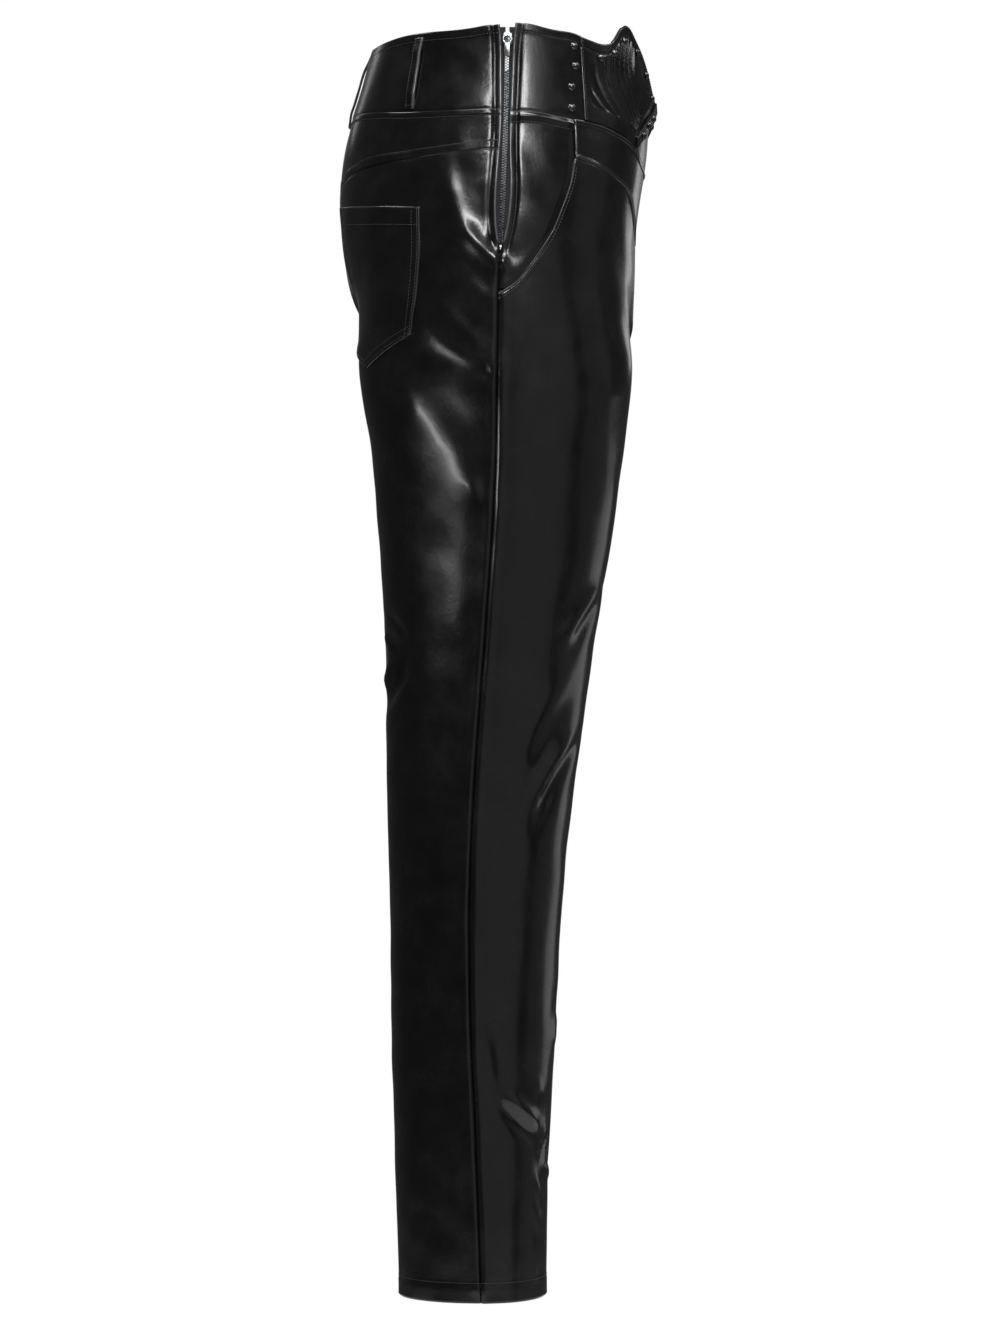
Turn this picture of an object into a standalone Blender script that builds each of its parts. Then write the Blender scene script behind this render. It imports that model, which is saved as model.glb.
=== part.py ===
"""Faux leather trousers with a side zip, a deep waistband and a pointed, studded front.

The garment keeps the hollow shape it has when worn. Metres, +Z up, the front faces -Y and the
wearer's right is -X. The origin is the middle of the waistband, on its centre line.

Every piece lies on one skin. A place on the skin has a turn and a height. The turn is in degrees:
0 is the centre front above the crotch and the inside leg seam below it, 180 is the side seam and
360 the centre back, or the inside leg seam again. All of it is worked out for the right half, and
the left half is its mirror image.
"""
import math

import bmesh
import bpy
import numpy as np
from mathutils import Matrix, Vector

for left_over in list(bpy.data.objects):
    bpy.data.objects.remove(left_over, do_unlink=True)

# ---- driving dimensions ----------------------------------------------------------------------
SEAM = 0.0003            # space between two pieces that are sewn together
OVER_FACETS = 0.0010     # space under what lies on a panel, so that flat facets don't meet
WALL = 0.0015            # coated cloth, turned edges and seams included
TRIM_WALL = 0.0013       # pocket, belt loops, wing and strip
WAIST_TOP = 0.0385       # top edge at the side
CROTCH = -0.285
HIP = -0.150             # below this height the two legs begin to part
HEM = -1.061
THIGH = -0.420           # above this height the rows of a leg are closer together
CENTRE_EDGE = 0.10       # degrees left free at the centre and inside leg seams
PER_DEGREE = 0.0013      # mean width of one degree of turn

# The body, half of a rounded section at each height: y of the front, side seam and back, and
# the half breadth.
BODY_COLUMNS = ("height", "front", "seam", "back", "breadth")
BODY = (
    (0.060, -0.1150, 0.0015, 0.1120, 0.1425),
    (0.030, -0.1185, 0.0018, 0.1225, 0.1455),
    (0.000, -0.1222, 0.0023, 0.1315, 0.1500),
    (-0.036, -0.1240, 0.0030, 0.1425, 0.1575),
    (-0.070, -0.1212, 0.0040, 0.1490, 0.1655),
    (-0.110, -0.1148, 0.0055, 0.1507, 0.1735),
    (-0.150, -0.1120, 0.0073, 0.1470, 0.1795),
    (-0.195, -0.1112, 0.0090, 0.1410, 0.1835),
    (-0.240, -0.1092, 0.0102, 0.1345, 0.1853),
    (-0.285, -0.1050, 0.0110, 0.1280, 0.1855),
)
# One leg, a whole rounded section at each height: y of the front, seam and back, x of the sides.
LEG_COLUMNS = ("height", "front", "seam", "back", "inner", "outer")
LEG = (
    (-0.240, -0.1092, 0.0102, 0.1345, 0.0020, -0.1853),
    (-0.285, -0.1050, 0.0110, 0.1280, 0.0000, -0.1855),
    (-0.320, -0.1005, 0.0113, 0.1215, -0.0055, -0.1830),
    (-0.376, -0.0935, 0.0133, 0.1158, -0.0120, -0.1780),
    (-0.430, -0.0850, 0.0167, 0.1115, -0.0165, -0.1740),
    (-0.511, -0.0715, 0.0227, 0.1080, -0.0230, -0.1700),
    (-0.606, -0.0582, 0.0298, 0.1070, -0.0290, -0.1680),
    (-0.715, -0.0468, 0.0341, 0.1045, -0.0345, -0.1670),
    (-0.831, -0.0395, 0.0330, 0.1026, -0.0375, -0.1665),
    (-0.960, -0.0340, 0.0276, 0.0986, -0.0395, -0.1660),
    (-1.070, -0.0320, 0.0238, 0.0958, -0.0405, -0.1655),
)
BODY_ROUNDNESS = 2.27    # 2 is an ellipse, more is squarer
LEG_ROUNDNESS = 2.12
FORK_FRONT = -0.210      # where the crotch curve leaves the centre front
FORK_BACK = -0.165       # and the centre back
FORK_SOFT = 1.1          # radians of turn over which its tight round eases off

# Seams and edges of the right half: height over turn.
EDGE_COLUMNS = ("turn", "height")
TOP_FRONT = (
    (0, -0.024), (15, -0.012), (30, 0.003), (45, 0.014), (60, 0.021), (80, 0.024),
    (100, 0.021), (113, 0.021), (129, 0.030), (146, 0.0330), (165, 0.0372), (180, WAIST_TOP),
)
TOP_BACK = (
    (180, 0.0372), (190, 0.0363), (212, 0.0336), (240, 0.0333), (270, 0.0325), (290, 0.0315), (360, 0.033),
)
BAND_FRONT = (
    (0, -0.0755), (20, -0.0745), (40, -0.0725), (58, -0.0686), (72, -0.0620), (89, -0.0558),
    (103, -0.0513), (116, -0.0477), (130, -0.0452), (145, -0.0430), (160, -0.0395), (180, -0.0392),
)
BAND_BACK = (
    (180, -0.0369), (215, -0.0377), (248, -0.0362), (273, -0.0332), (310, -0.0305), (360, -0.0285),
)
YOKE_FRONT = (
    (0, -0.141), (30, -0.132), (50, -0.121), (67, -0.1085), (80, -0.1004), (97, -0.0943),
    (112, -0.0875), (125, -0.0822), (137, -0.0785),
)
YOKE_BACK = (
    (180, -0.0722), (188, -0.0724), (221, -0.0770), (258, -0.0800), (287, -0.0830), (320, -0.0895),
    (360, -0.0935),
)
WING_TOP = (
    (0, -0.011), (15, 0.001), (29, 0.014), (45, 0.0265), (62, 0.0372), (70, 0.0435), (80, 0.0448),
    (88, 0.0401), (96, 0.0310), (104, 0.0250), (113, 0.0242), (128, 0.0285), (140, 0.031),
)
WING_FOOT = ((0, -0.0205), (20, -0.0315), (40, -0.0395), (58, -0.0510), (72, -0.0605))
STRIP_COLUMNS = ("turn", "upper", "lower")
STRIP = (
    (0.4, -0.0120, -0.0215), (20, -0.0225, -0.0327), (40, -0.0300, -0.0410),
    (58, -0.0400, -0.0525), (72, -0.0520, -0.0618),
)
# The slanted pocket opening: turn over height.
OPENING_COLUMNS = ("height", "turn")
OPENING = (
    (-0.0445, 136.0), (-0.0785, 137.0), (-0.0981, 139.5), (-0.1208, 145.0), (-0.1419, 151.0),
    (-0.1600, 158.5), (-0.1774, 166.5), (-0.1902, 173.5), (-0.1970, 180.0),
)
WING_EDGE = 129.0        # turn of the wing's outer seam

# Half the width of the zip's opening in the right side seam.
ZIP_COLUMNS = ("height", "half")
ZIP_OPENING = (
    (0.039, 0.0068), (0.022, 0.0050), (0.000, 0.0042), (-0.065, 0.0036), (-0.148, 0.0027), (-0.160, SEAM / 2),
)
ZIP_TOP = 0.0355
ZIP_END = -0.156
TAPE_SPARE = 0.0060      # of the tapes, below the teeth
TAPE_WALL = 0.0010
TAPE_UNDER = 0.0027      # outer face of the tapes below the outer face of the panels
TAPE_REACH = 0.0140      # from the middle of the zip to the outer edge of a tape
CHAIN_HALF = 0.0022
CHAIN_WALL = 0.0021
CHAIN_TOP = 0.0160
STOP_LENGTH = 0.0037

SLIDER_WIDTH = 0.0078
SLIDER_LENGTH = 0.0110
SLIDER_PLATE = 0.0010
SLIDER_NECK = 0.0016
SLIDER_HEIGHT = 0.0245   # height of its middle
CROWN_WIDTH = 0.0016
CROWN_RISE = 0.0030      # inside of the crown above the front plate
CROWN_BAR = 0.0010
CROWN_POST = 0.0011
CROWN_UPPER = 0.0037     # middle of the upper post, up from the slider's middle
CROWN_LOWER = -0.0004    # and of the lower one, which stands in the pull's eye
JOIN_LAP = 0.0004        # how far blocks that are joined run into each other
PULL_WALL = 0.0011
PULL_LENGTH = 0.0190
PULL_TAIL = 0.0048       # its width below the eye
PULL_BAR = 0.0010        # width of the metal round the eye
PULL_START = 0.0022      # its axis is this far above the slider's middle
PULL_CLEAR = 0.0007      # between the slider's plate and the pull
EYE_WIDTH = 0.0082
EYE_LENGTH = 0.0078
EYE_LAP = 0.0012

# Largest folds: soft troughs, or ridges where the depth is negative.
FOLD_COLUMNS = ("turn", "height", "to_turn", "to_height", "width", "depth")
FOLDS = (
    (210, -0.112, 184, -0.176, 0.014, -0.0024),
    (222, -0.170, 186, -0.262, 0.013, -0.0018),
    (238, -0.250, 196, -0.360, 0.022, -0.0024),
    (266, -0.470, 246, -0.508, 0.014, 0.0046),
    (246, -0.508, 266, -0.548, 0.013, 0.0040),
    (94, -0.470, 128, -0.560, 0.017, 0.0030),
    (98, -0.575, 128, -0.655, 0.014, 0.0032),
    (152, -0.800, 146, -0.855, 0.016, 0.0026),
    (146, -0.855, 112, -0.905, 0.014, 0.0032),
    (92, -0.912, 112, -0.950, 0.014, 0.0030),
    (60, -0.430, 20, -0.500, 0.020, 0.0030),
    (70, -0.560, 30, -0.620, 0.018, 0.0028),
    (290, -0.480, 330, -0.520, 0.018, 0.0036),
    (62, -0.860, 26, -0.910, 0.018, 0.0030),
)

# Back pocket, from its lower corners to its top edge.
POCKET_COLUMNS = ("height", "near", "far")
POCKET = (
    (-0.2310, 222.0, 281.0), (-0.2040, 220.5, 299.0), (-0.1710, 224.0, 317.0), (-0.1215, 228.0, 325.0),
)
POCKET_TILT = 0.012      # its far top corner is this much higher
POCKET_POINT = 0.027     # and its point this much below its lower corners

LOOP_WIDTH = 0.0095
LOOP_TOP = 0.0290
LOOP_FOOT = -0.0345
LOOP_RISE = 0.0030       # its middle stands this far off the waistband
LOOP_TURN = 244.3

STUD_RADIUS = 0.0036
STUD_HEIGHT = 0.0024
STUD_GAP = 0.0005
STUD_COLUMNS = ("turn", "height")
BAND_STUDS = ((133.3, 0.0197), (132.9, 0.0023), (136.8, -0.0165), (137.4, -0.0350))
WING_STUDS = (
    (112.0, 0.0114), (97.5, 0.0174), (82.5, 0.0303), (59.0, 0.0242), (37.0, 0.0072), (17.0, -0.0105),
)
STRIP_STUDS = ((24.0, -0.0293), (45.0, -0.0382), (61.0, -0.0494))

WING_STAND = 0.0062      # how far the wing's tip springs off the waistband
WING_STAND_REACH = 22.0  # degrees over which that dies away
WING_ACROSS = 14


# ---- the skin --------------------------------------------------------------------------------
def spline(rows, column=1):
    """A natural cubic through a table's first column and the one named by its place."""
    rows = sorted(rows)
    x = np.array([row[0] for row in rows], float)
    y = np.array([row[column] for row in rows], float)
    h = np.diff(x)
    system = np.eye(len(x))
    right = np.zeros(len(x))
    for i in range(1, len(x) - 1):
        system[i, i - 1:i + 2] = h[i - 1], 2 * (h[i - 1] + h[i]), h[i]
        right[i] = 6 * ((y[i + 1] - y[i]) / h[i] - (y[i] - y[i - 1]) / h[i - 1])
    bend = np.linalg.solve(system, right)

    def at(t):
        t = np.clip(t, x[0], x[-1])
        i = np.clip(np.searchsorted(x, t) - 1, 0, len(x) - 2)
        b = (t - x[i]) / h[i]
        a = 1 - b
        curve = ((a ** 3 - a) * bend[i] + (b ** 3 - b) * bend[i + 1]) * h[i] ** 2 / 6
        return a * y[i] + b * y[i + 1] + curve

    return at


def columns(rows, names):
    """One curve for each named column after the first."""
    return {name: spline(rows, place) for place, name in enumerate(names) if place}


body = columns(BODY, BODY_COLUMNS)
leg = columns(LEG, LEG_COLUMNS)
top_front, top_back = spline(TOP_FRONT), spline(TOP_BACK)
band_front, band_back = spline(BAND_FRONT), spline(BAND_BACK)
yoke_front, yoke_back = spline(YOKE_FRONT), spline(YOKE_BACK)
wing_top, wing_foot = spline(WING_TOP), spline(WING_FOOT)
strip = columns(STRIP, STRIP_COLUMNS)
opening_turn = spline(OPENING)
zip_half = spline(ZIP_OPENING)
pocket = columns(POCKET, POCKET_COLUMNS)


def smooth(t):
    t = np.clip(t, 0, 1)
    return t * t * (3 - 2 * t)


def mix(a, b, t):
    return a + (b - a) * t


def reach(c, s, half_c, half_s, roundness):
    """From the middle of a rounded oval to its edge, in the direction (c, s)."""
    return (np.abs(c / half_c) ** roundness + np.abs(s / half_s) ** roundness) ** (-1 / roundness)


def body_section(turn, height):
    """x and y on the body; towards the crotch the turns crowd to the front and back."""
    half = turn / 2
    crowd = 1 + smooth((HIP - height) / (HIP - CROTCH))
    angle = np.arcsin(np.clip(np.sin(half), 0, 1) ** crowd)
    angle = np.where(turn > math.pi, math.pi - angle, angle)
    c, s = np.cos(angle), np.sin(angle)
    seam = body["seam"](height)
    depth = np.where(c > 0, seam - body["front"](height), body["back"](height) - seam)
    r = reach(s, c, body["breadth"](height), depth, BODY_ROUNDNESS)
    return -r * s, seam - r * c


def leg_section(turn, height):
    c, s = np.cos(turn), np.sin(turn)
    inner, outer, seam = leg["inner"](height), leg["outer"](height), leg["seam"](height)
    depth = np.where(s > 0, seam - leg["front"](height), leg["back"](height) - seam)
    r = reach(c, s, (inner - outer) / 2, depth, LEG_ROUNDNESS)
    return (inner + outer) / 2 + r * c, seam - r * s


def fork(turn, height):
    """0 on the body, 1 on the leg; at the centre it follows the round of the crotch seam."""
    top = np.where(turn < math.pi, FORK_FRONT, FORK_BACK)
    fall = np.clip((top - height) / (top - CROTCH), 0, 1)
    away = np.minimum(turn, 2 * math.pi - turn)
    softness = 0.5 + 1.7 * smooth(away / FORK_SOFT)
    at_centre = 1 - np.clip(1 - fall ** 2, 0, 1) ** softness
    at_side = smooth((HIP - height) / (HIP - CROTCH))
    centre = np.clip(np.cos(turn / 2) ** 2, 0, 1) ** 1.5
    return mix(at_side, at_centre, centre)


def form(turn, height):
    """The plain form, without folds. Turns past 360 go on round the left half."""
    turn, height = np.broadcast_arrays(np.asarray(turn, float), np.asarray(height, float))
    past = (turn > 360) | (turn < 0)
    turn = np.radians(np.where(turn > 360, 720 - turn, np.abs(turn)))
    share = np.where(height > CROTCH, fork(turn, height), 1.0)
    body_x, body_y = body_section(turn, np.maximum(height, CROTCH))
    leg_x, leg_y = leg_section(turn, height)
    x = mix(body_x, leg_x, share)
    return np.stack([np.where(past, -x, x), mix(body_y, leg_y, share), height], axis=-1)


def outward(turn, height):
    """The skin's normal, read a little inside the centre seams."""
    turn = np.where(np.abs(turn - 360) < 1.0, np.where(turn > 360, 361.0, 359.0), np.maximum(turn, 1.0))
    across = form(turn + 0.5, height) - form(turn - 0.5, height)
    up = form(turn, height + 0.002) - form(turn, height - 0.002)
    normal = np.cross(up, across)
    return normal / np.linalg.norm(normal, axis=-1, keepdims=True)


def fold_depth(turn, height):
    """How far the folds press the skin in."""
    total = np.zeros(np.broadcast(turn, height).shape)
    for row in FOLDS:
        fold = dict(zip(FOLD_COLUMNS, row))
        run = (fold["to_turn"] - fold["turn"]) * PER_DEGREE
        drop = fold["to_height"] - fold["height"]
        x = (turn - fold["turn"]) * PER_DEGREE
        z = height - fold["height"]
        along = np.clip((x * run + z * drop) / (run * run + drop * drop), 0, 1)
        off = np.hypot(x - along * run, z - along * drop)
        total = total + fold["depth"] * np.exp(-(off / fold["width"]) ** 2)
    return total


def skin(turn, height, lift=0.0):
    """A place on the garment's outer face, moved out by the lift."""
    out = outward(turn, height)
    return form(turn, height) + out * (np.asarray(lift) - fold_depth(turn, height))[..., None]


# ---- making pieces ---------------------------------------------------------------------------
parts = bpy.data.collections.new("faux_leather_trousers")
guides = bpy.data.collections.new("guides")
bpy.context.scene.collection.children.link(parts)
bpy.context.scene.collection.children.link(guides)


def finish(name, base, roughness, metallic=0.0):
    material = bpy.data.materials.new(name)
    material.use_nodes = True
    shader = material.node_tree.nodes["Principled BSDF"]
    shader.inputs["Base Color"].default_value = (*base, 1)
    shader.inputs["Roughness"].default_value = roughness
    shader.inputs["Metallic"].default_value = metallic
    return material


PANEL = finish("coated_black", (0.012, 0.012, 0.013), 0.32)
TRIM = finish("coated_black_trim", (0.014, 0.014, 0.015), 0.30)
TAPE = finish("zip_tape_black", (0.010, 0.010, 0.011), 0.85)
METAL = finish("zip_metal", (0.30, 0.30, 0.31), 0.30, 1.0)
STUD = finish("stud_black_metal", (0.030, 0.030, 0.033), 0.22, 1.0)


def face_out(mesh_data):
    """A thin bent wall can fool the recalculation, so its volume decides."""
    bmesh.ops.recalc_face_normals(mesh_data, faces=mesh_data.faces[:])
    if mesh_data.calc_volume(signed=True) < 0:
        bmesh.ops.reverse_faces(mesh_data, faces=mesh_data.faces[:])


def keep(name, mesh_data, material, location=(0, 0, 0)):
    """Store a bmesh as one named object."""
    face_out(mesh_data)
    mesh = bpy.data.meshes.new(name)
    mesh_data.to_mesh(mesh)
    mesh_data.free()
    mesh.materials.append(material)
    made = bpy.data.objects.new(name, mesh)
    made.location = location
    parts.objects.link(made)
    return made


def cloth(name, material, place, across, along, wall=WALL, side="right"):
    """A wall of cloth. place(u, v) gives the turn, the height and the lift of its outer face."""
    sheet = bmesh.new()
    bmesh.ops.create_grid(sheet, x_segments=across, y_segments=along, size=0.5)
    share_u = sheet.verts.layers.float.new("u")
    share_v = sheet.verts.layers.float.new("v")
    for vert in sheet.verts:
        vert[share_u] = round((vert.co.x + 0.5) * across) / across
        vert[share_v] = round((vert.co.y + 0.5) * along) / along
    made = bmesh.ops.extrude_face_region(sheet, geom=sheet.faces[:])
    inner = [item for item in made["geom"] if isinstance(item, bmesh.types.BMVert)]
    under = set(inner)
    outer = [vert for vert in sheet.verts if vert not in under]
    for group, depth in ((outer, 0.0), (inner, wall)):
        u = np.array([vert[share_u] for vert in group])
        v = np.array([vert[share_v] for vert in group])
        turn, height, lift = place(u, v)
        points = skin(turn, height, lift - depth)
        own_half = (turn < 359.95) & (points[:, 0] > -0.01)
        points[:, 0] = np.where(own_half, np.minimum(points[:, 0], -SEAM / 2), points[:, 0])
        if side == "left":
            points[:, 0] = -points[:, 0]
        for vert, point in zip(group, points):
            vert.co = point
    return keep(name, sheet, material)


def beside_zip(height, side):
    """Degrees that a piece leaves free at the side seam."""
    half = zip_half(height) if side == "right" else SEAM / 2
    half = np.where(height < ZIP_OPENING[-1][0], SEAM / 2, half)
    return np.degrees(half / (body["breadth"](np.maximum(height, CROTCH)) / 2))


def on_front(turn, height, side):
    return np.clip(turn, CENTRE_EDGE, 180 - beside_zip(height, side))


def on_back(turn, height, side):
    return np.clip(turn, 180 + beside_zip(height, side), 360 - CENTRE_EDGE)


def between(low, high, turns, side, held, lift=0.0):
    """A band from one seam to the next above it, with a column at each turn."""
    def place(u, v):
        turn = np.interp(u * (len(turns) - 1), range(len(turns)), turns)
        height = mix(low(turn) + SEAM / 2, high(turn) - SEAM / 2, v)
        turn = held(turn, height, side)
        return turn, height, (lift(turn) if callable(lift) else lift) + 0 * turn
    return place


# ---- legs and yokes --------------------------------------------------------------------------
SHIN_ROWS = 14
THIGH_ROWS = 3
FORK_ROWS = 5
UPPER_ROWS = 3
BACK_ACROSS = 12
YOKE_ACROSS = 8          # columns of the front leg under the yoke, and of the yoke itself
OPENING_ACROSS = 6       # columns of the front leg along the pocket opening
YOKE_SHARE = YOKE_ACROSS / (YOKE_ACROSS + OPENING_ACROSS)


def leg_heights(fork_top):
    """Rows from the hem to the top of the crotch curve, closest together at the crotch."""
    shin = np.linspace(HEM, THIGH, SHIN_ROWS, endpoint=False)
    thigh = np.linspace(THIGH, CROTCH, THIGH_ROWS, endpoint=False)
    turn_in = np.radians(np.linspace(90, 0, FORK_ROWS + 1))
    return np.concatenate([shin, thigh, fork_top + (CROTCH - fork_top) * np.sin(turn_in)])


def front_leg_top(u):
    """The front yoke's lower seam, then the pocket opening."""
    on_yoke = u <= YOKE_SHARE + 1e-6
    yoke_turn = OPENING[1][1] * u / YOKE_SHARE
    drop = mix(OPENING[1][0], OPENING[-1][0], (u - YOKE_SHARE) / (1 - YOKE_SHARE))
    turn = np.where(on_yoke, yoke_turn, opening_turn(drop))
    height = np.where(on_yoke, yoke_front(yoke_turn), drop)
    return turn, height - SEAM / 2


def back_leg_top(u):
    turn = mix(180, 360, u)
    return turn, yoke_back(turn) - SEAM / 2


def leg_panel(top, fork_top, start, held, side):
    heights = leg_heights(fork_top)
    rows = len(heights) - 1 + UPPER_ROWS

    def place(u, v):
        row = v * rows
        low = np.interp(row, range(len(heights)), heights)
        climb = np.clip((row - len(heights) + 1) / UPPER_ROWS, 0, 1)
        top_turn, top_height = top(u)
        turn = mix(mix(start, start + 180, u), top_turn, climb)
        height = mix(low, top_height, climb)
        return held(turn, height, side), height, 0 * turn

    return place, rows


def make_legs(side):
    place, rows = leg_panel(front_leg_top, FORK_FRONT, 0, on_front, side)
    cloth(f"leg_front_{side}", PANEL, place, YOKE_ACROSS + OPENING_ACROSS, rows, side=side)
    place, rows = leg_panel(back_leg_top, FORK_BACK, 180, on_back, side)
    cloth(f"leg_back_{side}", PANEL, place, BACK_ACROSS, rows, side=side)


FACING_GAP = 0.40        # degrees between the pocket opening and the hip facing
FACING_END = -0.1935


def make_hip_facing(side):
    """Its rows meet the pocket opening where the front leg's columns do."""
    shared = np.linspace(OPENING[-1][0], OPENING[1][0], OPENING_ACROSS + 1)
    rows = np.concatenate([[FACING_END], shared[1:], [OPENING[0][0]]])

    def place(u, v):
        row = np.interp(v * (len(rows) - 1), range(len(rows)), rows)
        edge = np.interp(row, shared, opening_turn(shared)) + FACING_GAP
        turn = mix(edge, 180, u)
        rise = (row - FACING_END) / (rows[-1] - FACING_END)
        height = mix(FACING_END, band_front(turn) - SEAM / 2, rise)
        return on_front(turn, height, side), height, 0 * turn
    cloth(f"hip_facing_{side}", PANEL, place, 5, len(rows) - 1, side=side)


def even(start, end, columns_across):
    return np.linspace(start, end, columns_across + 1)


def make_band(name, low, high, turns, rows, side, held):
    cloth(f"{name}_{side}", PANEL, between(low, high, turns, side, held), len(turns) - 1, rows, side=side)


def make_yokes_and_waistband(side):
    """The waistband's columns meet the front yoke's."""
    yoke_turns = even(0, OPENING[0][1] - FACING_GAP, YOKE_ACROSS)
    band_turns = np.concatenate([yoke_turns, even(yoke_turns[-1], 180, 4)[1:]])
    back_turns = even(180, 360, BACK_ACROSS)
    make_band("yoke_front", yoke_front, band_front, yoke_turns, 2, side, on_front)
    make_band("yoke_back", yoke_back, band_back, back_turns, 2, side, on_back)
    make_band("waistband_front", band_front, top_front, band_turns, 3, side, on_front)
    make_band("waistband_back", band_back, top_back, back_turns, 3, side, on_back)


# ---- what lies on the panels -----------------------------------------------------------------
def wing_lift(turn):
    """The wing lies on the waistband and springs off it towards the centre tip."""
    return SEAM + TRIM_WALL + WING_STAND * np.exp(-np.asarray(turn) / WING_STAND_REACH)


def wing_low(turn):
    return np.where(turn < WING_FOOT[-1][0], wing_foot(turn), band_front(turn) + SEAM)


def make_wing(side):
    place = between(wing_low, wing_top, even(0, WING_EDGE, WING_ACROSS), side, on_front, wing_lift)
    cloth(f"wing_{side}", TRIM, place, WING_ACROSS, 4, TRIM_WALL, side)

    def on_wing(u, v):
        turn = mix(STRIP[0][0], STRIP[-1][0], u)
        height = mix(strip["lower"](turn), strip["upper"](turn), v)
        return turn, height, wing_lift(turn) + SEAM + TRIM_WALL
    cloth(f"wing_strip_{side}", TRIM, on_wing, 7, 1, TRIM_WALL, side)


def make_pocket(side):
    def place(u, v):
        level = mix(POCKET[0][0], POCKET[-1][0], v)
        turn = mix(pocket["near"](level), pocket["far"](level), u)
        point = POCKET_POINT * (1 - np.abs(2 * u - 1)) * (1 - v)
        return turn, level + POCKET_TILT * u * v - point, OVER_FACETS + TRIM_WALL + 0 * turn
    cloth(f"back_pocket_{side}", TRIM, place, 10, 8, TRIM_WALL, side)


def make_belt_loop(name, turn, side):
    half = math.degrees(LOOP_WIDTH / 2 / 0.0735)

    def place(u, v):
        bow = smooth(np.minimum(v, 1 - v) / 0.3)
        lift = SEAM + TRIM_WALL + LOOP_RISE * bow
        return mix(turn - half, turn + half, u), mix(LOOP_FOOT, LOOP_TOP, v), lift
    cloth(name, TRIM, place, 2, 8, TRIM_WALL, side)


def make_stud(name, turn, height, lift, side):
    """A dome with its flat back on the cloth."""
    centre = Vector(skin(np.array(turn), np.array(height), np.array(lift + STUD_GAP)))
    out = Vector(outward(np.array(turn), np.array(height)))
    if side == "left":
        centre.x, out.x = -centre.x, -out.x
    dome = bmesh.new()
    bmesh.ops.create_uvsphere(dome, u_segments=10, v_segments=6, radius=STUD_RADIUS)
    below = [vert for vert in dome.verts if vert.co.z < -STUD_RADIUS / 10]
    bmesh.ops.delete(dome, geom=below, context="VERTS")
    bmesh.ops.holes_fill(dome, edges=dome.edges[:])
    bmesh.ops.scale(dome, vec=(1, 1, STUD_HEIGHT / STUD_RADIUS), verts=dome.verts[:])
    turned = out.to_track_quat("Z", "Y").to_matrix().to_4x4()
    bmesh.ops.transform(dome, matrix=turned, verts=dome.verts[:])
    keep(name, dome, STUD, centre)


def make_studs(side):
    groups = (
        ("band", BAND_STUDS, lambda turn: 0.0),
        ("wing", WING_STUDS, wing_lift),
        ("strip", STRIP_STUDS, lambda turn: wing_lift(turn) + SEAM + TRIM_WALL),
    )
    for group, rows, lift in groups:
        for number, (turn, height) in enumerate(rows, 1):
            make_stud(f"stud_{group}_{number}_{side}", turn, height, lift(turn), side)


# ---- the zip ---------------------------------------------------------------------------------
def zip_turn(across, height):
    """Turn of a line at this distance from the middle of the zip, to the front if positive."""
    return 180 - np.degrees(across / (body["breadth"](height) / 2))


def zip_strip(name, material, low, high, inner, outer, lift, rows, wall, across=2):
    """A strip along the zip between two heights and two distances from its middle."""
    def place(u, v):
        height = mix(low, high, v)
        return zip_turn(mix(inner, outer, u), height), height, lift + 0 * height
    cloth(name, material, place, across, rows, wall)


def make_zip():
    inner = CHAIN_HALF + SEAM
    foot = ZIP_END - TAPE_SPARE
    zip_strip("zip_tape_front", TAPE, foot, ZIP_TOP, inner, TAPE_REACH, -TAPE_UNDER, 8, TAPE_WALL)
    zip_strip("zip_tape_back", TAPE, foot, ZIP_TOP, -inner, -TAPE_REACH, -TAPE_UNDER, 8, TAPE_WALL)
    lift = -TAPE_UNDER - TAPE_WALL / 2 + CHAIN_WALL / 2
    zip_strip("zip_teeth", METAL, ZIP_END, CHAIN_TOP, -CHAIN_HALF, CHAIN_HALF, lift, 10, CHAIN_WALL)
    stop_top = ZIP_END - SEAM
    stop = (stop_top - STOP_LENGTH, stop_top, -CHAIN_HALF, CHAIN_HALF)
    zip_strip("zip_bottom_stop", METAL, *stop, lift, 1, CHAIN_WALL)


def zip_axes():
    """Axes at the slider: across (to the front), out and up along the zip; and its middle."""
    turn, height, step = np.array(180.0), np.array(SLIDER_HEIGHT), SLIDER_LENGTH
    up = Vector(form(turn, height + step) - form(turn, height - step)).normalized()
    out = up.cross(Vector((0, -1, 0))).normalized()
    if out.x > 0:
        out = -out
    across = out.cross(up).normalized()
    if across.y > 0:
        across = -across
    return Matrix((across, out, up)).transposed(), Vector(form(turn, height))


def box(size, centre):
    """A block in the zip's own axes: across, out, up."""
    block = bmesh.new()
    bmesh.ops.create_cube(block, size=1)
    bmesh.ops.scale(block, vec=size, verts=block.verts[:])
    bmesh.ops.translate(block, vec=centre, verts=block.verts[:])
    return block


def oval(width, length, wall, up):
    """A flat oval plate in the zip's axes, its middle this far up."""
    plate = bmesh.new()
    flat = Matrix.Rotation(math.pi / 2, 4, "X")
    bmesh.ops.create_cone(plate, cap_ends=True, segments=20, radius1=0.5, radius2=0.5, depth=1, matrix=flat)
    bmesh.ops.scale(plate, vec=(width, wall, length), verts=plate.verts[:])
    bmesh.ops.translate(plate, vec=(0, 0, up), verts=plate.verts[:])
    return plate


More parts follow.
